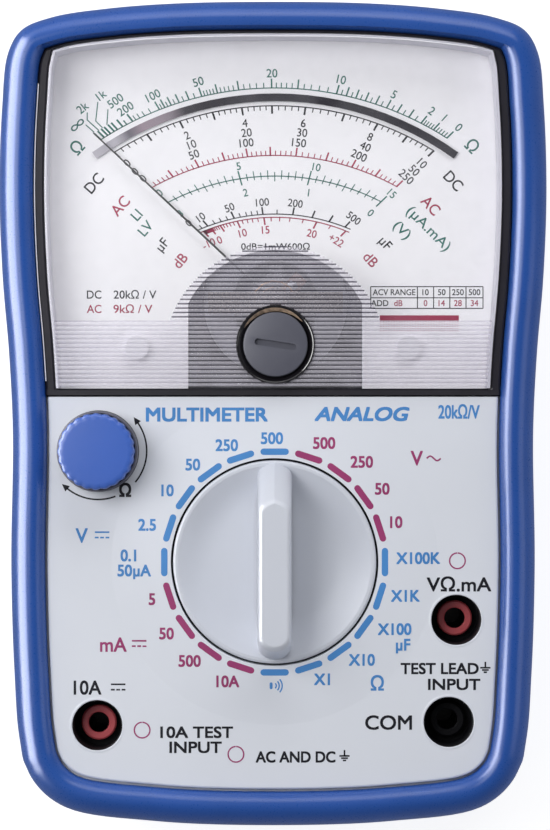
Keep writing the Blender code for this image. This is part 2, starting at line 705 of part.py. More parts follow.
def pointer_group():
    """Everything that swings with the needle, modelled with the needle along +Y and turned to its zero."""
    empty = axis_empty("pointer_axis", (*PIVOT, 0.0), turn=REST_ANGLE)
    needle = [
        (0.35, 0.5), (0.2, POINTER_LENGTH), (-0.2, POINTER_LENGTH),
        (-0.35, 0.5), (-0.5, -7.0), (0.5, -7.0),
    ]
    pointer = sheet("pointer", [needle], (28.6, 29.0))
    hub = cylinder("pointer_hub", 1.7, (28.55, 29.05), (0.0, 0.0), sides=16)
    bore = cylinder("pointer_bore", 0.9, (28.0, 30.0), (0.0, 0.0), sides=12)
    join(pointer, hub)
    cut(pointer, bore)
    finish(pointer, "needle_black")

    coil = box("moving_coil", (-7.2, -1.4, 12.8), (7.2, 1.4, 25.2))
    window = box("moving_coil_window", (-6.0, -2.0, 13.9), (6.0, 2.0, 24.1))
    cut(coil, window)
    finish(coil, "copper")

    front = [(0.0, 30.2), (0.25, 29.9), (0.6, 29.2), (0.6, 26.1), (1.6, 26.1), (1.6, 25.5), (0.0, 25.5)]
    rear = [(0.0, 12.5), (1.6, 12.5), (1.6, 11.9), (0.6, 11.9), (0.6, 10.6), (0.25, 10.1), (0.0, 9.9)]
    front_pivot = finish(turned("front_pivot", front, (0.0, 0.0, 0.0), steps=12), "steel")
    rear_pivot = finish(turned("rear_pivot", rear, (0.0, 0.0, 0.0), steps=12), "steel")

    cross = box("balance_cross", (-5.5, -0.45, 27.0), (5.5, 0.45, 27.5))
    tail = box("balance_tail", (-0.44, -5.5, 27.01), (0.44, 0.3, 27.49))
    weights = [
        cylinder("balance_weight_left", 0.9, (-5.3, -3.9), (0.0, 27.25), along="X", sides=12),
        cylinder("balance_weight_right", 0.9, (3.9, 5.3), (0.0, 27.25), along="X", sides=12),
        cylinder("balance_weight_tail", 0.9, (-5.3, -3.9), (0.0, 27.25), along="Y", sides=12),
    ]
    hub_disc = cylinder("balance_hub", 1.7, (26.95, 27.55), (0.0, 0.0), sides=16)
    balance_bore = cylinder("balance_bore", 0.9, (26.0, 28.5), (0.0, 0.0), sides=12)
    join(cross, tail, hub_disc, *weights)
    cut(cross, balance_bore)
    finish(cross, "steel")

    front_spring = hairspring("front_hairspring", 29.6)
    rear_spring = hairspring("rear_hairspring", 11.2)
    carry(empty, pointer, coil, front_pivot, rear_pivot, cross, front_spring, rear_spring)


# ---------------------------------------------------------------- circuit board and what it carries
def circuit_board():
    board = shell("circuit_board", [(CASE_INNER + 0.8, BOARD[0]), (CASE_INNER + 0.8, BOARD[1])], below=1.2)
    cutters = [cylinder("board_selector_hole", 4.4, (20.0, 30.0), SELECTOR, sides=24)]
    for name, at, _ in JACKS:
        cutters.append(cylinder(f"board_jack_hole_{name}", 2.65, (20.0, 30.0), at, sides=16))
    for number, (x, y) in enumerate(CASE_SCREWS):
        if y < 0:
            cutters.append(cylinder(f"board_boss_hole_{number}", 3.8, (20.0, 30.0), (x, y), sides=16))
    for side, at in BOARD_SCREWS:
        cutters.append(cylinder(f"board_screw_hole_{side}", 1.3, (20.0, 30.0), at, sides=12))
    cut(board, *cutters)
    finish(board, "board_green")
    for side, (x, y) in BOARD_SCREWS:
        profile = [(0.0, 31.0), (1.0, 31.0), (1.0, 23.3), (2.2, 23.3), (2.2, 22.2), (0.0, 22.2)]
        finish(turned(f"board_screw_{side}", profile, (x, y, 0.0), steps=12), "steel")


def ohm_pot():
    pot = cylinder("ohm_pot", 8.0, (25.5, 31.9), OHM_KNOB, sides=28)
    cut(pot, cylinder("ohm_pot_bore", 2.9, (27.0, 34.0), OHM_KNOB, sides=20))
    return finish(pot, "black_plastic")


def zero_ohm_knob():
    empty = axis_empty("zero_ohm_axis", (*OHM_KNOB, 0.0))
    outer = OHM_KNOB_RADIUS
    profile = [(0.0, OHM_KNOB_TOP), (outer - 1.0, OHM_KNOB_TOP), (outer - 0.3, OHM_KNOB_TOP - 0.6),
               (outer, PANEL[0]), (2.6, PANEL[0]), (2.6, 27.5), (0.0, 27.5)]
    knob = turned("zero_ohm_knob", profile, (0.0, 0.0, 0.0), steps=36)
    carry(empty, knob)
    return finish(knob, "blue_plastic")


def buzzer():
    body = cylinder("buzzer", 7.0, (25.5, 30.5), (31.0, -12.0), sides=24)
    cut(body, cylinder("buzzer_sound_hole", 1.2, (29.2, 31.0), (31.0, -12.0), sides=12))
    return finish(body, "black_plastic")


def fuse(name, x, y_span, radius):
    """A glass fuse along Y with a metal cap at each end, in an open-bottomed holder under the board."""
    height = 21.6 - radius
    length = y_span[1] - y_span[0]
    half, cap = length / 2, 5.0
    profile = [(0.0, half), (radius, half), (radius, half - cap), (radius - 0.2, half - cap - 0.1),
               (radius - 0.2, cap - half + 0.1), (radius, cap - half), (radius, -half), (0.0, -half)]
    middle = (y_span[0] + y_span[1]) / 2
    link = turned(name, profile, (x, middle, height), steps=16, rotation=(math.pi / 2, 0.0, 0.0))
    finish(link, "fuse_glass")

    cheek = radius + 1.5
    holder_name = name.replace("fuse", "fuse_holder")
    top = BOARD[0] - GAP
    holder = box(holder_name, (x - cheek, y_span[0] - 1.0, height - 1.6), (x + cheek, y_span[1] + 1.0, top))
    reach = radius + GAP
    channel_low, channel_high = (x - reach, y_span[0] - 3.0, 10.0), (x + reach, y_span[1] + 3.0, 21.9)
    channel = box(f"{holder_name}_channel", channel_low, channel_high)
    cut(holder, channel)
    finish(holder, "nickel")


# ---------------------------------------------------------------- range selector
def selector():
    """Knob, rotor and what they carry, modelled about the selector's axis with the handle along +Y."""
    empty = axis_empty("selector_axis", (*SELECTOR, 0.0))
    pieces = [selector_knob(), selector_rotor(), detent_ball()]
    pieces += [detent_spring(), wiper_contacts(), selector_screw()]
    carry(empty, *pieces)


def selector_knob():
    rim = KNOB_RADIUS
    dish = [
        (0.0, 34.3), (8.0, 34.3), (rim - 4.0, 34.6), (rim - 0.4, 35.0),
        (rim, 34.7), (rim, PANEL[0]), (0.0, PANEL[0]),
    ]
    knob = turned("selector_knob", dish, (0.0, 0.0, 0.0), steps=48)
    side_profile = [
        (-18.2, 33.5), (18.2, 33.5), (18.2, 36.0), (11.3, HANDLE_TOP), (-14.7, HANDLE_TOP), (-17.6, 42.0),
    ]
    bm = bmesh.new()
    half_width = 3.15
    left = [bm.verts.new((-half_width * MM, y * MM, z * MM)) for y, z in side_profile]
    face = bm.faces.new(left)
    moved = bmesh.ops.extrude_face_region(bm, geom=[face])["geom"]
    right = [item for item in moved if isinstance(item, bmesh.types.BMVert)]
    bmesh.ops.translate(bm, verts=right, vec=(2 * half_width * MM, 0.0, 0.0))
    for vert in bm.verts:
        rise = (vert.co.z / MM - 34.0) / (HANDLE_TOP - 34.0)
        vert.co.x *= 1.0 - 0.22 * max(rise, 0.0)
    handle = from_bmesh("selector_handle", bm)
    screw_hole = cylinder("selector_knob_bore", 1.7, (30.0, 36.3), (0.0, 0.0), sides=16)
    join(knob, handle)
    cut(knob, screw_hole)
    return finish(knob, "panel_plastic")


def selector_rotor():
    """The disc under the panel, with a hub through the board and a pocket for the detent ball along +X."""
    top, under = ROTOR[1], ROTOR[0]
    profile = [(0.0, top), (ROTOR_RADIUS, top), (ROTOR_RADIUS, under), (3.9, under), (3.9, 22.9), (0.0, 22.9)]
    rotor = turned("selector_rotor", profile, (0.0, 0.0, 0.0), steps=40)
    join(rotor, box("rotor_pocket", (7.0, -3.0, 25.6), (19.8, 3.0, under + 0.5)))
    cut(
        rotor,
        cylinder("rotor_ball_bore", 1.9, (10.0, 24.0), (0.0, BALL_HEIGHT), along="X", sides=16),
        cylinder("rotor_screw_bore", 1.7, (20.0, 35.0), (0.0, 0.0), sides=16),
    )
    return finish(rotor, "black_plastic")


def detent_ball():
    bm = bmesh.new()
    bmesh.ops.create_uvsphere(bm, u_segments=12, v_segments=8, radius=1.55 * MM)
    return finish(from_bmesh("detent_ball", bm, (19.5, 0.0, BALL_HEIGHT)), "steel")


def detent_spring():
    turns, steps = 4, 10
    start, end, radius = 10.6, 17.4, 1.3
    coil = []
    for index in range(turns * steps + 1):
        angle = 2 * math.pi * index / steps
        along = start + (end - start) * index / (turns * steps)
        coil.append((along, radius * math.cos(angle), BALL_HEIGHT + radius * math.sin(angle)))
    return finish(wire("detent_spring", coil, 0.2), "steel")


def wiper_contacts():
    """A sprung plate under the rotor whose three fingers rub on the board's tracks."""
    wiper = box("wiper_contacts", (-17.6, -2.5, 28.6), (-7.4, 2.5, 29.1))
    for number in range(3):
        x = -16.6 + 4.0 * number
        join(wiper, box(f"wiper_finger_{number}", (x - 0.5, -1.6, 25.5), (x + 0.5, -1.0, 28.9)))
    return finish(wiper, "bronze")


def selector_screw():
    profile = [(0.0, 36.0), (1.4, 36.0), (1.4, 22.6), (3.2, 22.6), (3.2, 21.2), (0.0, 21.2)]
    return finish(turned("selector_screw", profile, (0.0, 0.0, 0.0), steps=16), "steel")


# ---------------------------------------------------------------- input sockets
def jacks():
    for name, (x, y), colour in JACKS:
        sleeve = [
            (3.0, 28.8), (3.25, 28.5), (3.25, 26.6), (5.9, 26.6),
            (5.9, 25.5), (2.65, 25.5), (2.65, 28.8),
        ]
        finish(turned(f"jack_sleeve_{name}", sleeve, (x, y, 0.0), steps=24), colour)
        bore = JACK_BORE_RADIUS
        outside = bore + 0.35
        contact = [(0.0, 12.0), (outside, 12.0), (outside, 28.4), (bore, 28.4), (bore, 13.0), (0.0, 13.0)]
        finish(turned(f"jack_contact_{name}", contact[::-1], (x, y, 0.0), steps=20), "nickel")


# ---------------------------------------------------------------- batteries
def batteries():
    for number, y in enumerate((-11.7, -26.3), start=1):
        profile = [
            (0.0, 25.1), (2.6, 25.1), (2.6, 24.1), (AA_RADIUS, 24.1), (AA_RADIUS, -25.1), (0.0, -25.1),
        ]
        turn = math.pi / 2 if number == 1 else -math.pi / 2
        cell = turned(f"battery_aa_{number}", profile, (0.0, y, 13.1), steps=24, rotation=(0.0, turn, 0.0))
        finish(cell, "battery_jacket")

    block = box("battery_9v", (-27.0, -63.2, 5.7), (21.0, -36.9, 22.9))
    for side in (-1, 1):
        at = (-50.05 + side * 6.35, 14.3)
        join(block, cylinder(f"battery_9v_terminal_{side}", 2.8, (20.0, 23.0), at, "X", 16))
    finish(block, "battery_jacket")

    snap = box("battery_snap", (21.3, -62.0, 8.0), (25.6, -38.0, 20.6))
    for side in (-1, 1):
        at = (-50.05 + side * 6.35, 14.3)
        cut(snap, cylinder(f"battery_snap_hole_{side}", 3.1, (20.0, 23.4), at, "X", 16))
    finish(snap, "black_plastic")

    link = box("battery_link", (-27.8, -31.0, 8.0), (-27.3, -7.0, 18.0))
    for number, y in enumerate((-11.7, -26.3), start=1):
        join(link, battery_spring(f"battery_link_spring_{number}", -1, y))
    finish(link, "nickel")
    for name, y in (("battery_contact_positive", -11.7), ("battery_contact_negative", -26.3)):
        contact = box(name, (27.3, y - 4.5, 8.0), (27.8, y + 4.5, 18.0))
        join(contact, battery_spring(name + "_spring", 1, y))
        finish(contact, "nickel")


def battery_spring(name, side, y):
    """A sprung contact's cone, pointing at the cell from the bay's end."""
    span = (25.5, 27.5) if side > 0 else (-27.5, -25.5)
    radii = (2.2, 3.4) if side > 0 else (3.4, 2.2)
    return cylinder(name, radii[0], span, (y, 13.1), along="X", sides=16, top_radius=radii[1])


# ---------------------------------------------------------------- the whole object
rubber_holster()
tilt_stand()
front_case()
rear_case()
case_screws()
battery_door()
meter_housing()
dial_plate()
mirror_strip()
meter_window()
zero_adjuster()
magnet_parts()
bridges()
zero_lever()
pointer_group()
circuit_board()
ohm_pot()
zero_ohm_knob()
buzzer()
fuse("fuse_low", 37.0, (-31.0, -11.0), 2.6)
fuse("fuse_high", -37.0, (-46.0, -14.0), 3.15)
selector()
jacks()
batteries()
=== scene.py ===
"""The analog multimeter's finished look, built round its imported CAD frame.

Sizes are in millimetres, measured as in the CAD part: X to the right, Y towards the dial end, and Z out of
the face. Lights, camera and floor are placed in metres.
"""

import json
import math

import bmesh
import bpy
from mathutils import Matrix, Vector


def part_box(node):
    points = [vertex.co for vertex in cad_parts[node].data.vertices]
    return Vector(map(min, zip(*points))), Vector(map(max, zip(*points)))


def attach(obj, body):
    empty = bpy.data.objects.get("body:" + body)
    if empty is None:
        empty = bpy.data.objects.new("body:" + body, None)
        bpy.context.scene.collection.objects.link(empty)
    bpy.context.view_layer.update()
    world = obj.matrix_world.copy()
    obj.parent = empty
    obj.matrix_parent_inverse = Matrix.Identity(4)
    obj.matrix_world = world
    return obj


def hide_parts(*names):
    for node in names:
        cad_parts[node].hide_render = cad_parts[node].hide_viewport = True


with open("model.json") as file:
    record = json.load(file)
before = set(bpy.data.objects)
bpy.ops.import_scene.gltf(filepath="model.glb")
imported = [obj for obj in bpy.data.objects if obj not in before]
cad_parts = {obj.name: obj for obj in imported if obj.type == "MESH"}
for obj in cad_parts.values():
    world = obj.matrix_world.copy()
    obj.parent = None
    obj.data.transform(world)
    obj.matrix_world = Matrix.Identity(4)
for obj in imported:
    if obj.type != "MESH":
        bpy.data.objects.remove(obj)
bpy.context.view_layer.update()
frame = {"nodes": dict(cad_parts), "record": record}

MM = 0.001

# ---------------------------------------------------------------- sizes shared with the CAD part
HALF_OUTLINE = [
    (0.0, 77.3), (18.2, 77.0), (31.4, 76.0), (41.5, 74.4), (47.2, 72.0), (49.8, 67.6), (50.9, 57.7),
    (51.4, 41.5), (50.8, 25.3), (49.6, 11.1), (48.9, -4.0), (49.2, -28.3), (48.6, -48.6),
    (47.5, -61.7), (45.1, -68.8), (39.0, -73.9), (22.3, -76.5), (0.0, -77.3),
]
OUTLINE_STEPS = 8  # points that the smooth outline gets for each point above
CORNER_REACH = 4 * OUTLINE_STEPS
SAME_SIDE = math.cos(math.radians(8.0))

# Insets from the outline: one distance, or one each for the sides, the top and the bottom.
HOLSTER_WALL = 2.9
CASE_OUTER, CASE_INNER = 3.2, 4.8
HOUSING_OUTER = 5.1
HOUSING_INNER = (8.6, 6.4, 6.4)
WINDOW_OUTER = (8.9, 6.7, 6.7)
# Heights of each shell's foot and top.
CASE_FOOT = 22.3
PANEL_UNDER, PANEL_TOP = 32.2, 34.2
HOUSING_FOOT, HOUSING_TOP = 25.6, 34.35
WINDOW_FOOT, WINDOW_UNDER, WINDOW_TOP = 27.9, 34.9, 36.4
DIAL_UNDER, DIAL_TOP = 27.1, 27.6
# Where, along Y, the panel gives way to the meter housing and the housing to its window.
PANEL_EDGE, HOUSING_EDGE, WINDOW_EDGE = 3.1, 3.4, 4.7
# Spans of height that a cutter needs to go right through one shell.
THROUGH_FACE = (30.0, 40.0)
THROUGH_FLOOR = (24.0, 28.0)
THROUGH_DIAL = (26.0, 29.0)

PIVOT = Vector((0.45, 20.7))
SCALE_CENTRE = Vector((0.4, 1.2))
ADJUSTER = (0.45, 12.8)
SLOT_TURN = -8.7  # degrees
DIAL_SCREWS = [(-25.6, 12.4), (25.6, 12.4)]
SCREW_HOLE_RADIUS = 1.4
REST_ANGLE = 46.9  # degrees
POINTER_LENGTH = 46.9

SELECTOR = Vector((0.3, -27.6))
KNOB_RADIUS = 18.9
PANEL_HOLE_RADIUS = 19.3
CONE_FOOT, CONE_HEAD = 30.2, 20.4  # radii of the panel's raised cone
CONE_RISE = 0.8
OHM_KNOB = (-32.5, -7.0)
OHM_HOLE_RADIUS = 7.6
JACKS = {"volt": (34.1, -38.4), "common": (32.7, -57.4), "10a": (-32.7, -58.0)}
JACK_MOUTH = 4.68


# ---------------------------------------------------------------- materials
def new_tree(name):
    material = bpy.data.materials.new(name)
    material.use_nodes = True
    tree = material.node_tree
    tree.nodes.clear()
    output = add(tree, "OutputMaterial")
    return material, tree, output


def wire(tree, source, output, target, socket):
    tree.links.new(source.outputs[output], target.inputs[socket])


def add(tree, kind, values=None):
    """A new shader node. values holds its unlinked sockets by their names."""
    node = tree.nodes.new("ShaderNode" + kind)
    for socket, value in (values or {}).items():
        node.inputs[socket].default_value = value
    return node


def noise(tree, scale, detail=3.0, stretch=None):
    """A noise texture in the object's own coordinates. scale counts cycles in a metre."""
    place = add(tree, "TexCoord")
    texture = add(tree, "TexNoise", {"Scale": scale, "Detail": detail})
    if stretch is None:
        wire(tree, place, "Object", texture, "Vector")
    else:
        mapping = add(tree, "Mapping", {"Scale": stretch})
        wire(tree, place, "Object", mapping, "Vector")
        wire(tree, mapping, "Vector", texture, "Vector")
    return texture


def colour_ramp(tree, source, output, stops):
    """Turns an output into colours, through (position, colour) stops."""
    node = add(tree, "ValToRGB")
    elements = node.color_ramp.elements
    for position, _ in stops[1:-1]:
        elements.new(position)
    for element, (position, colour) in zip(elements, stops):
        element.position = position
        element.color = (*colour, 1.0)
    wire(tree, source, output, node, "Fac")
    return node


def ramp(tree, source, low, high):
    """Turns a noise into a range of colours from low to high."""
    return colour_ramp(tree, source, "Fac", [(0.3, low), (0.7, high)])


def tints(colour, spread):
    """A colour's darkest and lightest tint."""
    return [min(1.0, c * (1.0 - spread)) for c in colour], [min(1.0, c * (1.0 + spread)) for c in colour]


def surface(
    name, colour, roughness, *, metallic=0.0, spread=0.04, blotch=70.0, grain=2600.0, bump=0.12,
    depth=0.05, stretch=None, coat=0.0, specular=0.5, glow=0.0,
):
    """A procedural finish: broad changes of tint, a fine grain in the relief, and roughness that wanders."""
    material, tree, output = new_tree(name)
    # glow is an emission in the surface's own colour, used as painted light.
    shader = add(tree, "BsdfPrincipled", {
        "Metallic": metallic, "Coat Weight": coat, "Specular IOR Level": specular,
        "Emission Color": (*colour, 1.0), "Emission Strength": glow,
    })
    low, high = tints(colour, spread)
    broad = noise(tree, blotch, stretch=stretch)
    wire(tree, ramp(tree, broad, low, high), "Color", shader, "Base Color")
    fine = noise(tree, grain, detail=2.0, stretch=stretch)
    rough = ramp(tree, fine, [roughness * 0.88] * 3, [min(1.0, roughness * 1.12)] * 3)
    wire(tree, rough, "Color", shader, "Roughness")
    relief = add(tree, "Bump", {"Strength": bump, "Distance": depth * MM})
    wire(tree, fine, "Fac", relief, "Height")
    wire(tree, relief, "Normal", shader, "Normal")
    wire(tree, shader, "BSDF", output, "Surface")
    return material


def clear_surface(name, tint, roughness, clear_share, haze):
    """See-through plastic: a tinted clear layer under a glossy skin, with a share of milky plastic in it."""
    material, tree, output = new_tree(name)
    through = add(tree, "BsdfTransparent", {"Color": (*tint, 1.0)})
    milk = add(tree, "BsdfPrincipled", {"Roughness": roughness})
    low, high = tints(haze, 0.05)
    broad = noise(tree, 90.0)
    wire(tree, ramp(tree, broad, low, high), "Color", milk, "Base Color")
    body = add(tree, "MixShader")
    cloud = ramp(tree, noise(tree, 160.0), [1.0 - clear_share * 1.04] * 3, [1.0 - clear_share * 0.96] * 3)
    wire(tree, cloud, "Color", body, "Fac")
    wire(tree, through, "BSDF", body, 1)
    wire(tree, milk, "BSDF", body, 2)
    gloss = add(tree, "BsdfGlossy", {"Roughness": 0.25})
    facing = add(tree, "LayerWeight")
    shine = colour_ramp(tree, facing, "Facing", [
        (0.0, [0.02] * 3), (0.55, [0.025] * 3), (0.85, [0.06] * 3), (1.0, [0.18] * 3),
    ])
    skin = add(tree, "MixShader")
    wire(tree, shine, "Color", skin, "Fac")
    wire(tree, body, "Shader", skin, 1)
    wire(tree, gloss, "BSDF", skin, 2)
    wire(tree, skin, "Shader", output, "Surface")
    return material


def metal(name, colour, roughness, spread, **more):
    return surface(name, colour, roughness, metallic=1.0, spread=spread, **more)


def ink_surface(name, colour, spread):
    return surface(name, colour, 0.5, spread=spread, grain=6000.0, specular=0.2)


RUBBER = surface(
    "blue_rubber", (0.016, 0.080, 0.35), 0.30, spread=0.05, grain=3400.0, bump=0.15, specular=0.42,
)
PANEL = surface("panel_plastic", (0.735, 0.76, 0.82), 0.42, spread=0.012, bump=0.10)
KNOB = surface("knob_plastic", (0.63, 0.655, 0.72), 0.38, spread=0.012, bump=0.10)
BLACK = surface("black_plastic", (0.020, 0.018, 0.025), 0.36, spread=0.15, specular=0.35)
GREY = surface("grey_plastic", (0.088, 0.09, 0.118), 0.42, spread=0.05)
BLUE_CAP = surface("blue_plastic", (0.045, 0.125, 0.50), 0.36, spread=0.04)
SOCKET_BLACK = surface("socket_black", (0.006, 0.006, 0.008), 0.6, spread=0.2, specular=0.15)
# A pale colour with a faint glow for thin strips along the housing's and the window's edges: painted
# highlight, standing in for the light those edges catch.
PAINTED_HIGHLIGHT = surface("painted_highlight_line", (0.80, 0.79, 0.84), 0.25, spread=0.05, glow=0.06)
RED_SLEEVE = surface("red_plastic", (0.58, 0.095, 0.11), 0.34, spread=0.08)
COLLAR_GREY = surface("collar_grey", (0.095, 0.095, 0.13), 0.40, spread=0.06)
# The dial white glows faintly: painted light that lifts the shade which the holster's lip and the housing
# cast on it.
DIAL_WITH_PAINTED_GLOW = surface("dial_white", (0.93, 0.92, 0.945), 0.5, spread=0.01, grain=5200.0, bump=0.05, glow=0.075)
CLEAR = clear_surface("window_clear", (0.998, 0.998, 1.0), 0.2, 0.993, (0.80, 0.80, 0.84))
# The ribs' milky white is painted light, standing in for the light that their facets reflect and refract. The
# valleys' grey and the dome valleys' dark haze are painted shade.
RIB_PAINTED_LIGHT = clear_surface("window_ribs", (0.995, 0.99, 1.0), 0.3, 0.80, (0.90, 0.87, 0.96))
# The window's side wall, opaque and pale with a faint glow: painted light, standing in for how the lit clear
# wall looks when seen edge-on.
SKIRT_PAINTED_LIGHT = surface("window_skirt", (0.60, 0.59, 0.66), 0.45, spread=0.01, specular=0.15, glow=0.08)
DOME_VALLEY_PAINTED_SHADE = clear_surface("dome_valleys_painted_shade", (0.90, 0.89, 0.93), 0.3, 0.52, (0.07, 0.065, 0.09))
VALLEY_PAINTED_SHADE = clear_surface("window_valleys", (0.95, 0.94, 0.97), 0.3, 0.95, (0.30, 0.29, 0.33))
NEEDLE = surface("needle_paint", (0.012, 0.012, 0.014), 0.5, spread=0.2)
STEEL = metal("steel", (0.36, 0.36, 0.39), 0.34, 0.06, stretch=(1.0, 8.0, 1.0))
# The contacts are painted near-black: painted shade, for the dark deep inside each socket's bore.
CONTACT_PAINTED_SHADE = metal("socket_contact", (0.035, 0.034, 0.033), 0.35, 0.10)
NICKEL = metal("nickel", (0.72, 0.70, 0.67), 0.22, 0.06)
PLATED = surface("plated_screw", (0.80, 0.80, 0.82), 0.6, metallic=0.4, spread=0.05)
# Glossy black for the clear boss round the adjuster: painted shade, standing in for the dark recess seen
# through it.
BOSS_PAINTED_SHADE = surface("boss_painted_shade", (0.008, 0.007, 0.009), 0.16, spread=0.15)
# A brass colour for the crescent on the adjuster's boss: a painted glint, as of the movement's brass seen
# through the window.
PAINTED_BRASS_GLINT = surface("painted_brass_glint", (0.52, 0.38, 0.27), 0.35, metallic=0.1, spread=0.45, blotch=1100.0)
BRASS = metal("brass", (0.30, 0.25, 0.20), 0.28, 0.08)
BRONZE = metal("bronze", (0.60, 0.36, 0.19), 0.3, 0.08)
COPPER = metal("copper", (0.34, 0.20, 0.16), 0.35, 0.10, stretch=(1.0, 1.0, 30.0))
MAGNET = metal("magnet", (0.26, 0.26, 0.28), 0.42, 0.10)
BOARD = surface("board", (0.03, 0.20, 0.08), 0.42, spread=0.12, blotch=240.0)
FUSE = surface("fuse", (0.70, 0.74, 0.74), 0.12, spread=0.08, coat=0.6)
BATTERY = surface("battery", (0.05, 0.06, 0.09), 0.34, spread=0.20, blotch=120.0, coat=0.3)
PRINT_BLUE = ink_surface("print_blue", (0.070, 0.250, 0.58), 0.10)
PRINT_MAUVE = ink_surface("print_mauve", (0.33, 0.045, 0.155), 0.12)
PRINT_BLACK = ink_surface("print_black", (0.008, 0.008, 0.014), 0.25)
DIAL_RED = ink_surface("dial_red", (0.40, 0.025, 0.085), 0.12)
DIAL_GREEN = ink_surface("dial_green", (0.022, 0.155, 0.125), 0.15)


def mirror_surface():
    """The mirror strip, with its reflection painted on: dark, as of a dark room, and paler and warmer towards
    its left end.
    """
    material, tree, output = new_tree("mirror_strip")
    shader = add(tree, "BsdfPrincipled")
    place = add(tree, "TexCoord")
    mapping = add(tree, "Mapping", {"Location": (-SCALE_CENTRE.x * MM, -SCALE_CENTRE.y * MM, 0.0)})
    sweep = add(tree, "TexGradient")
    sweep.gradient_type = "RADIAL"
    wire(tree, place, "Object", mapping, "Vector")
    wire(tree, mapping, "Vector", sweep, "Vector")
    painted_reflection = colour_ramp(tree, sweep, "Fac", [
        (0.0, (0.022, 0.019, 0.028)), (0.797, (0.022, 0.019, 0.028)), (0.806, (0.30, 0.25, 0.29)),
        (0.820, (0.36, 0.28, 0.33)), (0.828, (0.16, 0.15, 0.18)), (0.835, (0.52, 0.50, 0.55)),
        (1.0, (0.60, 0.58, 0.63)),
    ])
    wire(tree, painted_reflection, "Color", shader, "Base Color")
    smear = ramp(tree, noise(tree, 300.0), [0.16] * 3, [0.24] * 3)
    wire(tree, smear, "Color", shader, "Roughness")
    wire(tree, shader, "BSDF", output, "Surface")
    return material


MIRROR = mirror_surface()
SLOT_FINISH = {
    "holster": RUBBER, "panel": PANEL, "black_plastic": BLACK, "grey_plastic": GREY,
    "blue_plastic": BLUE_CAP, "red_plastic": RED_SLEEVE, "window": CLEAR, "dial": DIAL_WITH_PAINTED_GLOW,
    "mirror": MIRROR, "needle_paint": NEEDLE, "copper": COPPER, "bronze": BRONZE, "brass": BRASS,
    "steel": STEEL, "nickel": NICKEL, "magnet": MAGNET, "board": BOARD, "fuse": FUSE, "battery": BATTERY,
}


# ---------------------------------------------------------------- shapes
def spline_point(before, start, end, after, t):
    """A centripetal Catmull-Rom curve from start (t = 0) to end (t = 1)."""
    knots = [0.0]
    for one, other in ((before, start), (start, end), (end, after)):
        knots.append(knots[-1] + math.sqrt((other - one).length))
    at = knots[1] + (knots[2] - knots[1]) * t

    def blend(first, last, low, high):
        return first * ((high - at) / (high - low)) + last * ((at - low) / (high - low))

    a1 = blend(before, start, knots[0], knots[1])
    a2 = blend(start, end, knots[1], knots[2])
    a3 = blend(end, after, knots[2], knots[3])
    return blend(blend(a1, a2, knots[0], knots[2]), blend(a2, a3, knots[1], knots[3]), knots[1], knots[2])


def smooth_outline():
    """Places and outward normals round the whole outline, anticlockwise seen from the front."""
    right = [Vector(point) for point in HALF_OUTLINE]
    left = [Vector((-point.x, point.y)) for point in right[1:-1]]
    corners = left + right[::-1]
    count = len(corners)
    places = []
    for index in range(count):
        around = [corners[(index + offset) % count] for offset in (-1, 0, 1, 2)]
        places += [spline_point(*around, step / OUTLINE_STEPS) for step in range(OUTLINE_STEPS)]
    normals = []
    for index in range(len(places)):
        along = places[(index + 1) % len(places)] - places[index - 1]
        normals.append(Vector((along.y, -along.x)).normalized())
    return list(zip(places, normals))


OUTLINE = smooth_outline()


def folded(ring, index):
    """Whether a corner too tight for the inset has turned this point of the ring inside out."""
    normal = OUTLINE[index][1]
    for offset in range(-CORNER_REACH, CORNER_REACH + 1):
        other = (index + offset) % len(ring)
        other_normal = OUTLINE[other][1]
        if normal.dot(other_normal) < SAME_SIDE and (ring[index] - ring[other]).dot(other_normal) > 0.02:
            return True
    return False


def inset_ring(inset):
    """The outline moved inwards by an inset, which is one distance or a (sides, top, bottom) triple."""
    ring = []
    for place, normal in OUTLINE:
        distance = inset
        if isinstance(inset, tuple):
            sides, top, bottom = inset
            distance = sides * normal.x**2 + (top if normal.y > 0.0 else bottom) * normal.y**2
        ring.append(place - normal * distance)
    count = len(ring)
    kept = [index for index in range(count) if not folded(ring, index)]
    for first, last in zip(kept, kept[1:] + [kept[0] + count]):
        corner = mitre(ring, first, last % count)
        for index in range(first + 1, last):
            share = 2.0 * (index - first) / (last - first)
            if share <= 1.0:
                ring[index % count] = ring[first].lerp(corner, share)
            else:
                ring[index % count] = corner.lerp(ring[last % count], share - 1.0)
    return ring


def mitre(ring, first, last):
    """The corner in which the ring's directions at two of its points meet."""
    one, other = (Vector((-OUTLINE[index][1].y, OUTLINE[index][1].x)) for index in (first, last))
    gap = ring[last] - ring[first]
    turn = one.cross(other)
    if abs(turn) < 0.1:
        return ring[first] + gap / 2.0
    return ring[first] + one * (gap.cross(other) / turn)


def inset(base, extra):
    """An inset that lies extra further in than base."""
    if isinstance(base, tuple):
        return tuple(side + extra for side in base)
    return base + extra


def vert(bm, x, y, z):
    return bm.verts.new((x * MM, y * MM, z * MM))


def bridge(bm, rows, closed=False):
    """Faces between each row of points and the next."""
    pairs = list(zip(rows, rows[1:])) + ([(rows[-1], rows[0])] if closed else [])
    for low, high in pairs:
        count = len(low)
        for index in range(count):
            after = (index + 1) % count
            bm.faces.new((low[index], low[after], high[after], high[index]))


def shell(bm, rows):
    """Faces between the rows, and one over each end."""
    bridge(bm, rows)
    bm.faces.new(rows[0][::-1])
    bm.faces.new(rows[-1])


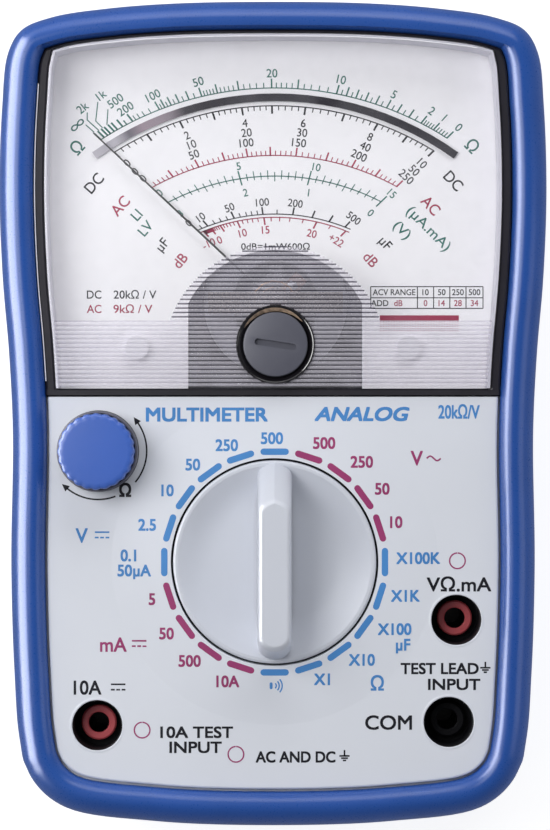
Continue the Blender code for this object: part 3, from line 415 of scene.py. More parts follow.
def keep_side(bm, level, side):
    """Cuts the mesh along Y = level, keeps what lies above (side -1) or below it (side 1), and closes it."""
    everything = bm.verts[:] + bm.edges[:] + bm.faces[:]
    split = bmesh.ops.bisect_plane(
        bm, geom=everything, dist=1e-7, plane_co=(0.0, level * MM, 0.0), plane_no=(0.0, side, 0.0),
        clear_outer=True,
    )
    edges = [item for item in split["geom_cut"] if isinstance(item, bmesh.types.BMEdge)]
    bmesh.ops.contextual_create(bm, geom=edges)


def loft(rings, *, above=None, below=None, caps=True):
    """A solid through (inset, height) rings. Without caps the last ring joins the first."""
    bm = bmesh.new()
    rows = []
    for ring_inset, height in rings:
        rows.append([vert(bm, point.x, point.y, height) for point in inset_ring(ring_inset)])
    if caps:
        shell(bm, rows)
    else:
        bridge(bm, rows, closed=True)
    if above is not None:
        keep_side(bm, above, -1.0)
    if below is not None:
        keep_side(bm, below, 1.0)
    return bm


def turned(profile, at=(0.0, 0.0), steps=96):
    """A solid of revolution through (radius, height) points about the vertical line at."""
    bm = bmesh.new()
    rows = []
    for step in range(steps):
        angle = 2.0 * math.pi * step / steps
        c, s = math.cos(angle), math.sin(angle)
        rows.append([vert(bm, at[0] + r * c, at[1] + r * s, z) for r, z in profile])
    bridge(bm, rows, closed=True)
    bmesh.ops.remove_doubles(bm, verts=bm.verts, dist=1e-8)
    return bm


def prism(outline, low, high, at=(0.0, 0.0)):
    """A straight solid between two heights, with an (x, y) outline."""
    bm = bmesh.new()
    shell(bm, [[vert(bm, at[0] + x, at[1] + y, z) for x, y in outline] for z in (low, high)])
    return bm


def arc_points(centre, radius, start, sweep, steps):
    """Points anticlockwise from the angle start over sweep degrees, with both ends."""
    angles = [math.radians(start + sweep * step / steps) for step in range(steps + 1)]
    return [(centre[0] + radius * math.cos(a), centre[1] + radius * math.sin(a)) for a in angles]


def rounded_box(x_span, y_span, radius, steps=8):
    """The outline of a rectangle with round corners."""
    points = []
    for cx, cy, start in ((x_span[1], y_span[1], 0), (x_span[0], y_span[1], 90),
                          (x_span[0], y_span[0], 180), (x_span[1], y_span[0], 270)):
        inner_x = cx + (radius if start in (90, 180) else -radius)
        inner_y = cy + (radius if start in (180, 270) else -radius)
        points += arc_points((inner_x, inner_y), radius, start, 90.0, steps)
    return points


def circle(radius, steps=96):
    return [(radius * math.cos(2.0 * math.pi * n / steps), radius * math.sin(2.0 * math.pi * n / steps))
            for n in range(steps)]


FLAT_AREA = 3.0e-6  # level faces larger than this, in square metres, are shaded flat


def sharpen(bm, crease):
    """Smooth shading, except on large level faces and across edges sharper than crease degrees."""
    for face in bm.faces:
        face.smooth = not (abs(face.normal.z) > 0.9999 and face.calc_area() > FLAT_AREA)
    for edge in bm.edges:
        edge.smooth = not (len(edge.link_faces) == 2 and edge.calc_face_angle(0.0) > math.radians(crease))


def linked(name, data):
    """An object in the scene that holds data."""
    made = bpy.data.objects.new(name, data)
    bpy.context.scene.collection.objects.link(made)
    return made


def mesh_object(name, bm):
    mesh = bpy.data.meshes.new(name)
    bm.to_mesh(mesh)
    bm.free()
    return linked(name, mesh)


def as_object(name, bm, crease=32.0):
    """A mesh object from bm, smooth except at edges sharper than crease degrees."""
    bmesh.ops.remove_doubles(bm, verts=bm.verts, dist=1e-8)
    bmesh.ops.dissolve_degenerate(bm, edges=bm.edges, dist=1e-8)
    bmesh.ops.recalc_face_normals(bm, faces=bm.faces)
    sharpen(bm, crease)
    return mesh_object(name, bm)


def carve(target, *others, operation="DIFFERENCE", crease=32.0):
    """Applies exact Booleans to target, removes the other objects and marks the sharp edges again."""
    for other in others:
        modifier = target.modifiers.new(other.name, "BOOLEAN")
        modifier.solver = "EXACT"
        modifier.operation = operation
        modifier.object = other
    graph = bpy.context.evaluated_depsgraph_get()
    target.data = bpy.data.meshes.new_from_object(target.evaluated_get(graph))
    target.modifiers.clear()
    for other in others:
        bpy.data.objects.remove(other)
    bm = bmesh.new()
    bm.from_mesh(target.data)
    bm.normal_update()
    sharpen(bm, crease)
    bm.to_mesh(target.data)
    bm.free()


def piece(target, finish, body, slot, *nodes):
    """Gives a finished piece its material and its place in the frame."""
    target.data.materials.clear()
    target.data.materials.append(finish)
    for polygon in target.data.polygons:
        polygon.material_index = 0
    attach(target, body)
    if nodes:
        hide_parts(*nodes)


def new_piece(name, bm, finish, slot, *nodes, body="root", crease=32.0):
    """A piece made straight from bm."""
    piece(as_object(name, bm, crease), finish, body, slot, *nodes)


def merged(*meshes):
    """One bmesh that holds the shapes of several."""
    whole = meshes[0]
    for other in meshes[1:]:
        scratch = bpy.data.meshes.new("scratch")
        other.to_mesh(scratch)
        other.free()
        whole.from_mesh(scratch)
        bpy.data.meshes.remove(scratch)
    return whole


# ---------------------------------------------------------------- holster
def build_holster():
    """The rubber holster: bulging sides, a lip rolled over the case, and an opening at the back."""
    wall_top = 33.2
    rings = [
        (2.2, 0.0), (1.5, 0.35), (0.9, 1.4), (0.4, 6.0), (0.1, 12.0), (0.0, 18.0), (0.0, 28.0),
        (0.15, 30.4), (0.6, 32.6), (1.4, 34.5), (2.4, 35.85), (3.5, 36.55), (4.5, 36.7), (5.3, 36.45),
        ((6.1, 5.1, 6.2), 35.8), ((6.6, 5.6, 6.7), 34.9), ((6.8, 5.8, 6.9), 34.0),
        ((6.8, 5.8, 6.9), wall_top), (3.0, wall_top), (HOLSTER_WALL, 32.0), (HOLSTER_WALL, 3.2),
    ]
    holster = as_object("holster", loft(rings))
    opening = prism(rounded_box((-34.0, 34.0), (-58.0, 54.0), 8.0), -1.0, 4.2)
    carve(holster, as_object("holster_opening", opening))
    piece(holster, RUBBER, "root", "holster", "rubber_holster")


# ---------------------------------------------------------------- front case
def cone_height(x, y):
    """The face of the white panel: flat, and raised in a shallow cone round the selector."""
    radius = (Vector((x, y)) - SELECTOR).length
    share = max(0.0, min(1.0, (CONE_FOOT - radius) / (CONE_FOOT - CONE_HEAD)))
    return PANEL_TOP + CONE_RISE * share


def build_front_case():
    """The pale case: a wall under the holster, the panel with its cone, and a raised ring at each socket."""
    land = (7.2, 6.0, 7.4)  # the panel's raised field, inside the holster's lip
    step = PANEL_UNDER + 0.3
    plate = as_object("front_case_face", loft(
        [
            (CASE_INNER - 0.2, PANEL_UNDER), (CASE_INNER - 0.2, step), (land, step),
            (land, PANEL_TOP - 0.35), (inset(land, 0.12), PANEL_TOP - 0.12), (inset(land, 0.4), PANEL_TOP),
        ],
        below=PANEL_EDGE,
    ))
    head = PANEL_TOP + CONE_RISE
    cone_profile = [
        (0.0, PANEL_UNDER + 0.2), (CONE_FOOT + 0.4, PANEL_UNDER + 0.2), (CONE_FOOT + 0.4, PANEL_TOP - 0.02),
        (CONE_FOOT, PANEL_TOP + 0.01), (CONE_FOOT - 1.0, PANEL_TOP + 0.06), (CONE_HEAD + 1.0, head - 0.06),
        (CONE_HEAD, head), (CONE_HEAD - 0.9, head), (0.0, head),
    ]
    cone = as_object("front_case_cone", turned(cone_profile, SELECTOR, 144))
    carve(plate, cone, operation="UNION")
    holes = [
        ("selector", circle(PANEL_HOLE_RADIUS, 128), SELECTOR),
        ("ohm", circle(OHM_HOLE_RADIUS, 64), OHM_KNOB),
    ] + [(name, circle(JACK_MOUTH, 64), at) for name, at in JACKS.items()]
    carve(plate, *[as_object(f"hole_{name}", prism(edge, *THROUGH_FACE, at)) for name, edge, at in holes])
    bm = bmesh.new()
    bm.from_mesh(plate.data)
    bpy.data.objects.remove(plate)
    wall = [
        (CASE_OUTER, CASE_FOOT), (CASE_OUTER, 32.4), (CASE_OUTER + 0.5, 33.0), (CASE_INNER, 33.0),
        (CASE_INNER, CASE_FOOT),
    ]
    parts = [bm, loft(wall, caps=False)]
    for at in JACKS.values():
        parts.append(turned([
            (5.9, 26.9), (5.9, 33.0), (5.15, PANEL_TOP + 0.01), (4.95, PANEL_TOP + 0.08),
            (4.8, PANEL_TOP + 0.08), (JACK_MOUTH, PANEL_TOP - 0.04), (JACK_MOUTH, 26.9),
        ], at, 64))
    new_piece("front_case_shell", merged(*parts), PANEL, "panel", "front_case", crease=26.0)


# ---------------------------------------------------------------- meter housing and window
def painted_highlight_strip(name, distance, height, indices, slot):
    """A fine pale strip with a faint glow that follows part of the outline at an inset: a painted highlight,
    standing in for the light that an edge catches.
    """
    section = [(0.0, 0.0), (0.0, 0.12), (0.05, 0.16), (0.14, 0.16), (0.19, 0.12), (0.19, 0.0)]
    ring = inset_ring(distance)
    bm = bmesh.new()
    rows = []
    for index in indices:
        normal = OUTLINE[index][1]
        rows.append([vert(bm, *(ring[index] - normal * step), height + rise) for step, rise in section])
    shell(bm, rows)
    new_piece(name, bm, PAINTED_HIGHLIGHT, slot)


def screw_holes(name, span):
    return [as_object(f"{name}_{index}", prism(circle(SCREW_HOLE_RADIUS, 24), *span, at))
            for index, at in enumerate(DIAL_SCREWS)]


def build_housing():
    """The black meter housing: its rim, the sill along the panel, and the floor that carries the dial."""
    outer_rim = (6.95, 5.95, 6.95)
    rim = loft(
        [
            (HOUSING_OUTER, HOUSING_FOOT), (HOUSING_OUTER, 33.0), (outer_rim, 33.6),
            (inset(outer_rim, 0.12), HOUSING_TOP - 0.2), (inset(outer_rim, 0.4), HOUSING_TOP),
            (inset(HOUSING_INNER, -0.2), HOUSING_TOP), (HOUSING_INNER, HOUSING_TOP - 0.2),
            (HOUSING_INNER, HOUSING_FOOT),
        ],
        above=HOUSING_EDGE, caps=False,
    )
    new_piece("meter_housing_rim", rim, BLACK, "black_plastic", "meter_housing")
    # A painted highlight line along the rim's left side, standing in for the light that its edge catches.
    left_side = [n for n, (place, normal) in enumerate(OUTLINE)
                 if normal.x < -0.985 and HOUSING_EDGE + 0.5 < place.y < 63.0]
    painted_highlight_strip("meter_housing_painted_highlight", 6.95, 34.3, left_side, "black_plastic")

    sill_rim = (7.0, 6.0, 7.0)
    sill = loft(
        [(sill_rim, HOUSING_FOOT), (sill_rim, 34.25), (inset(sill_rim, 0.2), 34.4)],
        above=HOUSING_EDGE, below=WINDOW_EDGE - 0.3,
    )
    new_piece("meter_housing_sill", sill, BLACK, "black_plastic")

    floor = as_object("meter_housing_floor", loft(
        [(HOUSING_OUTER, HOUSING_FOOT), (HOUSING_OUTER, HOUSING_FOOT + 1.2)], above=HOUSING_EDGE,
    ))
    movement = as_object("floor_movement", prism(circle(13.5, 64), *THROUGH_FLOOR, PIVOT))
    carve(floor, movement, *screw_holes("floor_screw", THROUGH_FLOOR))
    piece(floor, BLACK, "root", "black_plastic")


def build_dial():
    """The printed plate, with an arched cut-out at its foot for the movement."""
    levels = [(WINDOW_OUTER, DIAL_UNDER), (WINDOW_OUTER, DIAL_TOP)]
    plate = as_object("dial_face", loft(levels, above=WINDOW_EDGE))
    arch = arc_points((0.4, 12.4), 18.4, 27.0, 126.0, 48)
    opening = as_object("dial_opening", prism([(16.8, 0.0)] + arch + [(-16.0, 0.0)], *THROUGH_DIAL))
    carve(plate, opening, *screw_holes("dial_hole", THROUGH_DIAL))
    piece(plate, DIAL_WITH_PAINTED_GLOW, "root", "dial", "dial_plate")


def build_window():
    """The clear window; its side wall, painted pale with a faint glow as painted light; a painted highlight
    line along its top edge; and the boss round the adjuster, painted black as shade, with a painted brass
    glint.
    """
    plate = as_object("window_plate", loft(
        [
            (WINDOW_OUTER, WINDOW_UNDER), (WINDOW_OUTER, WINDOW_TOP - 0.4),
            (inset(WINDOW_OUTER, 0.12), WINDOW_TOP - 0.12), (inset(WINDOW_OUTER, 0.4), WINDOW_TOP),
        ],
        above=WINDOW_EDGE,
    ))
    skirt_top = WINDOW_UNDER - 0.02
    inner = inset(WINDOW_OUTER, 0.45)
    skirt = loft(
        [(inner, WINDOW_FOOT), (inner, skirt_top), (WINDOW_OUTER, skirt_top), (WINDOW_OUTER, WINDOW_FOOT)],
        above=WINDOW_EDGE, caps=False,
    )
    # The side wall carries painted light: an opaque pale colour with a faint glow.
    new_piece("window_skirt", skirt, SKIRT_PAINTED_LIGHT, "window")
    carve(plate, as_object("window_hole", prism(circle(7.34), *THROUGH_FACE, ADJUSTER)))
    piece(plate, CLEAR, "root", "window", "meter_window")
    # A painted highlight line along the window's top edge, standing in for the light on its rounded edge.
    top_edge = [n for n, (place, normal) in enumerate(OUTLINE) if normal.y > 0.9 and abs(place.x) < 39.5]
    top_edge.sort(key=lambda n: -OUTLINE[n][0].x)
    painted_highlight_strip("window_edge_painted_highlight", 7.25, WINDOW_TOP - 0.1, top_edge, "window")
    new_piece("window_boss", turned([
        (6.08, 34.9), (6.1, 35.9), (6.9, 36.9), (7.05, 37.0), (7.2, 37.0), (7.32, 36.7), (7.32, 34.9),
        (7.3, 33.9), (2.9, 33.9), (2.9, 34.9),
    ], ADJUSTER), BOSS_PAINTED_SHADE, "window")
    build_boss_glint()


def build_boss_glint():
    """A brass-coloured crescent on the boss's inner slope, widest at its middle: a painted glint, as of the
    movement's brass seen through the window.
    """
    foot, slope = 6.1, 1.25  # the radius at which the boss's slope starts, and how steeply it rises
    sink, stand = 0.3, 0.04  # how far the crescent reaches into the slope, and out of it
    bm = bmesh.new()
    rows = []
    for step in range(33):
        share = step / 32
        angle = math.radians(-62.0 + 112.0 * share)
        along = Vector((math.sin(angle), math.cos(angle)))
        swell = math.sin(math.pi * share) ** 0.7
        inner, outer = 6.5 - 0.36 * swell, 6.54 + 0.28 * swell
        near, far = (35.9 + (radius - foot) * slope for radius in (inner, outer))
        rows.append([vert(bm, *(Vector(ADJUSTER) + along * radius), z) for radius, z in (
            (inner, near - sink), (inner, near + stand), (outer, far + stand), (outer, far - sink))])
    shell(bm, rows)
    new_piece("window_boss_painted_glint", bm, PAINTED_BRASS_GLINT, "brass")


RIB_PITCH = 0.812
RIB_SHARE = 0.66  # of the pitch
DOME_VALLEY_SHARE = 0.38
RIB_HEIGHT, VALLEY_HEIGHT = 0.13, 0.02
RIB_BAND = (4.9, 17.1)  # Y span of the full-width ribs
DOME_CENTRE = (0.4, 10.3)
DOME_RADIUS = 20.7
BOSS_CLEARANCE = 7.2


def span_at(ring, y):
    """The ring's leftmost and rightmost X at a height across it."""
    crossings = []
    for one, other in zip(ring, ring[1:] + ring[:1]):
        if (one.y - y) * (other.y - y) < 0.0:
            crossings.append(one.x + (other.x - one.x) * (y - one.y) / (other.y - one.y))
    return min(crossings), max(crossings)


def rib_spans(ring, y):
    """Where a rib runs at one Y: across the window or the dome, with a gap for the boss."""
    if y < RIB_BAND[1]:
        low, high = span_at(ring, y)
    else:
        reach = DOME_RADIUS**2 - (y - DOME_CENTRE[1]) ** 2
        if reach <= 0.4:
            return []
        low, high = DOME_CENTRE[0] - math.sqrt(reach), DOME_CENTRE[0] + math.sqrt(reach)
    away = BOSS_CLEARANCE**2 - (y - ADJUSTER[1]) ** 2
    if away <= 0.0:
        return [(low, high)]
    gap = math.sqrt(away)
    return [(low, ADJUSTER[0] - gap), (ADJUSTER[0] + gap, high)]


def add_ribs(bm, ring, y, width, height):
    """Low rounded bars along X on the window's face, over the spans that the ribs have at y."""
    half = width / 2.0
    section = [
        (-half, 0.0), (-half * 0.6, height * 0.75), (0.0, height), (half * 0.6, height * 0.75), (half, 0.0),
    ]
    for span in rib_spans(ring, y):
        shell(bm, [[vert(bm, x, y + dy, WINDOW_TOP + 0.01 + dz) for dy, dz in section] for x in span])


def build_ribs():
    """The moulded ribs across the window's foot and up its dome. Their milky white is painted light, and the
    strips between them carry painted shade, darker on the dome.
    """
    ring = inset_ring(inset(WINDOW_OUTER, 0.6))
    ribs, valleys, dome = bmesh.new(), bmesh.new(), bmesh.new()
    count = int((DOME_CENTRE[1] + DOME_RADIUS - RIB_BAND[0]) / RIB_PITCH) + 1
    for index in range(count):
        y = RIB_BAND[0] + RIB_PITCH * (index + 0.5)
        add_ribs(ribs, ring, y, RIB_PITCH * RIB_SHARE, RIB_HEIGHT)
        y += RIB_PITCH / 2.0
        if y < RIB_BAND[1]:
            add_ribs(valleys, ring, y, RIB_PITCH * (1.0 - RIB_SHARE), VALLEY_HEIGHT)
        else:
            add_ribs(dome, ring, y, RIB_PITCH * DOME_VALLEY_SHARE, VALLEY_HEIGHT)
    for name, bm, finish in (
        ("window_ribs", ribs, RIB_PAINTED_LIGHT), ("window_valleys", valleys, VALLEY_PAINTED_SHADE),
        ("window_dome_valleys", dome, DOME_VALLEY_PAINTED_SHADE),
    ):
        new_piece(name, bm, finish, "window", crease=60.0)


# ---------------------------------------------------------------- print
class Ink:
    """Raised print of one colour. ground gives the height of the surface that it lies on."""

    thickness = 0.025

    def __init__(self, ground):
        self.bm = bmesh.new()
        self.ground = ground

    def face(self, points):
        self.bm.faces.new([vert(self.bm, x, y, 0.0) for x, y in points])

    def line(self, points, width):
        """A line of constant width with mitred corners."""
        path = [Vector(p) for p in points]
        sides = []
        for index, at in enumerate(path):
            before = (at - path[index - 1]).normalized() if index else None
            after = (path[index + 1] - at).normalized() if index + 1 < len(path) else before
            along = ((before or after) + after).normalized()
            normal = Vector((-along.y, along.x))
            reach = width / 2.0 / max(0.5, abs(along.dot(after)))
            sides.append((at + normal * reach, at - normal * reach))
        for (a, b), (c, d) in zip(sides, sides[1:]):
            self.face([a, b, d, c])

    def arc(self, centre, radius, width, start, end):
        """An arc about centre. Angles run clockwise from +Y, in degrees."""
        steps = max(4, int(abs(end - start) / 1.5))
        points = []
        for step in range(steps + 1):
            angle = math.radians(start + (end - start) * step / steps)
            points.append((centre[0] + radius * math.sin(angle), centre[1] + radius * math.cos(angle)))
        self.line(points, width)

    def capsule(self, at, width, length, turn):
        """A short bar with round ends, length along the radial direction turn."""
        radius = width / 2.0
        half = length / 2.0 - radius
        points = arc_points((0.0, half), radius, 0.0, 180.0, 6)
        points += arc_points((0.0, -half), radius, 180.0, 180.0, 6)
        c, s = math.cos(turn), math.sin(turn)
        self.face([(at[0] + x * c - y * s, at[1] + x * s + y * c) for x, y in points])

    def text(self, body, at, height, *, width=None, turn=0.0, slant=0.0, weight=0.0):
        """Lettering centred on at. height is that of its capitals."""
        scale = height / CAP_HEIGHT
        flat = letters(body, slant)
        xs = [v.co.x for v in flat.vertices]
        middle, extent = (min(xs) + max(xs)) / 2.0, max(xs) - min(xs)
        stretch = scale * LETTER_WIDTH if width is None else width / extent
        c, s = math.cos(math.radians(turn)), math.sin(math.radians(turn))
        strokes = [(0.0, 0.0)]
        if weight:
            strokes = [(weight * x, weight * y) for x, y in ((-1, -1), (1, -1), (1, 1), (-1, 1))]
        for level, (dx, dy) in enumerate(strokes):
            corners = []
            for point in flat.vertices:
                x, y = (point.co.x - middle) * stretch + dx, (point.co.y - CAP_HEIGHT / 2.0) * scale + dy
                place = (at[0] + x * c - y * s, at[1] + x * s + y * c, 0.002 * level)
                corners.append(self.bm.verts.new(Vector(place) * MM))
            for polygon in flat.polygons:
                self.bm.faces.new([corners[i] for i in polygon.vertices])
        bpy.data.meshes.remove(flat)

    def finish(self, name, finish, slot):
        """Lays the print on its ground and gives it its thickness."""
        bmesh.ops.recalc_face_normals(self.bm, faces=self.bm.faces)
        for point in self.bm.verts:
            point.co.z += (self.ground(point.co.x / MM, point.co.y / MM) + 0.002) * MM
        for face in self.bm.faces:
            if face.normal.z < 0.0:
                face.normal_flip()
        raised = bmesh.ops.extrude_face_region(self.bm, geom=self.bm.faces[:])
        for item in raised["geom"]:
            if isinstance(item, bmesh.types.BMVert):
                item.co.z += self.thickness * MM
        piece(mesh_object(name, self.bm), finish, "root", slot)


LETTER_WIDTH = 0.94  # of the font's own width, where a text's width isn't stated


def letters(body, slant=0.0):
    """The flat mesh of a text in Blender's own font, one unit high."""
    curve = bpy.data.curves.new("letters", "FONT")
    curve.body = body
    curve.resolution_u = 4
    curve.shear = slant
    holder = linked("letters", curve)
    graph = bpy.context.evaluated_depsgraph_get()
    mesh = bpy.data.meshes.new_from_object(holder.evaluated_get(graph))
    bpy.data.objects.remove(holder)
    bpy.data.curves.remove(curve)
    return mesh


def cap_height():
    mesh = letters("H")
    height = max(v.co.y for v in mesh.vertices)
    bpy.data.meshes.remove(mesh)
    return height


CAP_HEIGHT = cap_height()

# ---------------------------------------------------------------- dial print
OHM_RADIUS, DC_RADIUS, AC_RADIUS = 60.13, 56.78, 47.43
LEAK_RADIUS, CAPACITY_RADIUS, DECIBEL_RADIUS = 43.53, 36.38, 35.76

# Pointer angles of the scales' whole numbers, clockwise from straight up.
DC_ANGLES = [-46.8, -37.2, -27.7, -18.2, -9.75, -1.0, 8.7, 20.0, 29.6, 38.2, 46.0]
AC_ANGLES = [-46.8, -38.9, -29.3, -19.5, -10.75, -1.95, 7.9, 19.4, 29.25, 38.05, 46.0]
CAPACITY_ANGLES = [
    (0, -46.8), (5, -44.2), (10, -41.1), (20, -37.1), (30, -33.4), (40, -29.6), (50, -25.8), (60, -22.0),
    (70, -18.1), (80, -14.8), (90, -11.3), (100, -8.0), (150, 1.0), (200, 11.0), (300, 23.1), (400, 33.2),
    (500, 42.3),
]


def scale_angle(angles, share):
    """The pointer angle at a share from 0 to 1 of a scale."""
    place = share * (len(angles) - 1)
    index = min(len(angles) - 2, int(place))
    return angles[index] + (angles[index + 1] - angles[index]) * (place - index)


def on_arc(angle, radius):
    """Where the pointer's line at an angle meets a scale's arc, and the line's direction."""
    along = Vector((math.sin(math.radians(angle)), math.cos(math.radians(angle))))
    offset = PIVOT - SCALE_CENTRE
    half = offset.dot(along)
    reach = -half + math.sqrt(half**2 - offset.length_squared + radius**2)
    return PIVOT + along * reach, along


def tick(ink, angle, radius, start, end, width):
    at, along = on_arc(angle, radius)
    ink.line([at + along * start, at + along * end], width)


def scale_arc(ink, radius, width, angles):
    ends = []
    for angle in (angles[0], angles[-1]):
        at, _ = on_arc(angle, radius)
        ends.append(math.degrees(math.atan2(at.x - SCALE_CENTRE.x, at.y - SCALE_CENTRE.y)))
    ink.arc(SCALE_CENTRE, radius, width, ends[0], ends[1])


def dial_ticks(black, red, green):
    """Every scale's arc and its division marks."""
    scale_arc(black, DC_RADIUS, 0.22, DC_ANGLES)
    scale_arc(red, AC_RADIUS, 0.2, AC_ANGLES)
    for index in range(51):
        major = index % 5 == 0
        tick(black, scale_angle(DC_ANGLES, index / 50), DC_RADIUS, 0.1, -1.5 if major else -0.85,
             0.36 if major else 0.2)
        tick(red, scale_angle(AC_ANGLES, index / 50), AC_RADIUS, -0.08, 1.6 if major else 0.9,
             0.3 if major else 0.18)

    scale_arc(green, OHM_RADIUS, 0.2, DC_ANGLES)
    marks = [n * 0.2 for n in range(10)] + [2.0 + n * 0.5 for n in range(16)] + list(range(10, 20))
    marks += [20.0 + 2.0 * n for n in range(15)] + [50.0 + 5.0 * n for n in range(10)]
    marks += [100, 120, 140, 160, 180, 200, 250, 300, 400, 500, 700, 1000, 2000]
    majors = set(range(11)) | {15, 20, 30, 40, 50, 60, 70, 80, 90, 100, 200, 300, 400, 500, 700, 1000, 2000}
    for mark in marks:
        major = round(mark, 3) in majors
        crowded = 0.06 if mark >= 200 else 0.0
        tick(green, scale_angle(DC_ANGLES, 20.0 / (20.0 + mark)), OHM_RADIUS, -0.08, 1.75 if major else 1.0,
             (0.28 if major else 0.19) + crowded)
    tick(green, DC_ANGLES[0], OHM_RADIUS, -0.08, 1.75, 0.34)

    leak_ends = (-46.7, 46.05)
    scale_arc(green, LEAK_RADIUS, 0.2, leak_ends)
    for index in range(31):
        angle = leak_ends[0] + (leak_ends[1] - leak_ends[0]) * index / 30
        up = 1.5 if index % 10 == 0 else (1.1 if index % 2 == 0 else 0.75)
        down = 1.3 if index % 10 == 0 else (1.0 if index % 5 == 0 else 0.6)
        tick(green, angle, LEAK_RADIUS, -down, up, 0.26 if index % 10 == 0 else 0.17)

    scale_arc(black, CAPACITY_RADIUS, 0.2, [CAPACITY_ANGLES[0][1], CAPACITY_ANGLES[-1][1] + 3.0])
    for mark, angle in CAPACITY_ANGLES:
        major = mark in (0, 10, 50, 100, 200, 300, 400, 500)
        tick(black, angle, CAPACITY_RADIUS, -0.08, 1.4 if major else 0.8, 0.3 if major else 0.19)
    scale_arc(red, DECIBEL_RADIUS, 0.2, AC_ANGLES)
    for level in range(-10, 23):
        angle = scale_angle(AC_ANGLES, 0.0775 * 10.0 ** (level / 20.0))
        major = level in (-10, 0, 5, 10, 15, 20, 22)
        tick(red, angle, DECIBEL_RADIUS, 0.08, -1.4 if major else -0.75, 0.3 if major else 0.19)


# (text, x, y, turn) for each group of figures of one size.
GREEN_OHMS = [
    ("20", -0.2, 64.1, 0), ("10", 12.9, 62.9, -12), ("5", 22.8, 60.1, -28), ("2", 29.9, 57.0, -38),
    ("1", 32.3, 55.7, -42), ("0", 35.0, 53.9, -45), ("50", -14.1, 62.5, 17), ("100", -22.6, 59.9, 27),
    ("200", -27.8, 57.4, 33), ("500", -29.7, 58.9, 35), ("1k", -32.4, 60.0, 38), ("2k", -35.9, 57.6, 40),
]
BLACK_VOLTS = [
    ("0", -27.5, 47.2, 45), ("0", -26.0, 45.6, 45), ("0", -24.5, 44.3, 45), ("2", -16.2, 52.4, 22),
    ("10", -15.3, 50.7, 22), ("50", -14.9, 48.8, 21), ("4", -5.3, 54.7, 6), ("20", -5.0, 52.9, 6),
    ("100", -5.0, 51.0, 6), ("6", 5.7, 54.7, -5), ("30", 5.5, 52.9, -5), ("150", 4.9, 51.0, -6),
    ("8", 18.3, 52.1, -24), ("40", 17.4, 50.3, -24), ("200", 16.2, 48.6, -24), ("10", 28.1, 47.1, -45),
    ("50", 26.6, 45.8, -45), ("250", 25.1, 44.6, -44),
]
GREEN_LEAK = [
    ("0", -21.4, 41.6, 45), ("5", -6.5, 46.6, 10), ("10", 8.2, 46.4, -11), ("15", 22.4, 41.4, -43),
    ("3", -17.5, 37.7, 45), ("2", -5.2, 41.6, 10), ("1", 6.7, 41.6, -8), ("0", 18.4, 37.8, -43),
]
BLACK_CAPACITY = [
    ("0", -15.9, 35.9, 42), ("10", -13.6, 37.0, 36), ("50", -8.2, 38.8, 22), ("100", -2.0, 39.8, 5),
    ("200", 4.2, 39.6, -8), ("500", 15.2, 36.8, -37),
]
RED_DECIBELS = [
    ("-10", -12.1, 32.0, 25), ("0", -10.1, 32.7, 25), ("10", -5.7, 34.0, 14), ("15", -1.4, 34.6, 4),
    ("20", 7.3, 33.9, -13), ("+22", 11.9, 32.6, -32),
]


FIGURE_WEIGHT, WORD_WEIGHT = 0.012, 0.015
# The faint red dots under the table: how many, how far apart, and how large.
DOT_COLUMNS, DOT_ROWS = 30, 5
DOT_PITCH = (0.5, 0.42)
DOT_SIZE = (0.22, 0.16)


def box(ink, x, y, width, height):
    ink.face([(x, y), (x + width, y), (x + width, y + height), (x, y + height)])


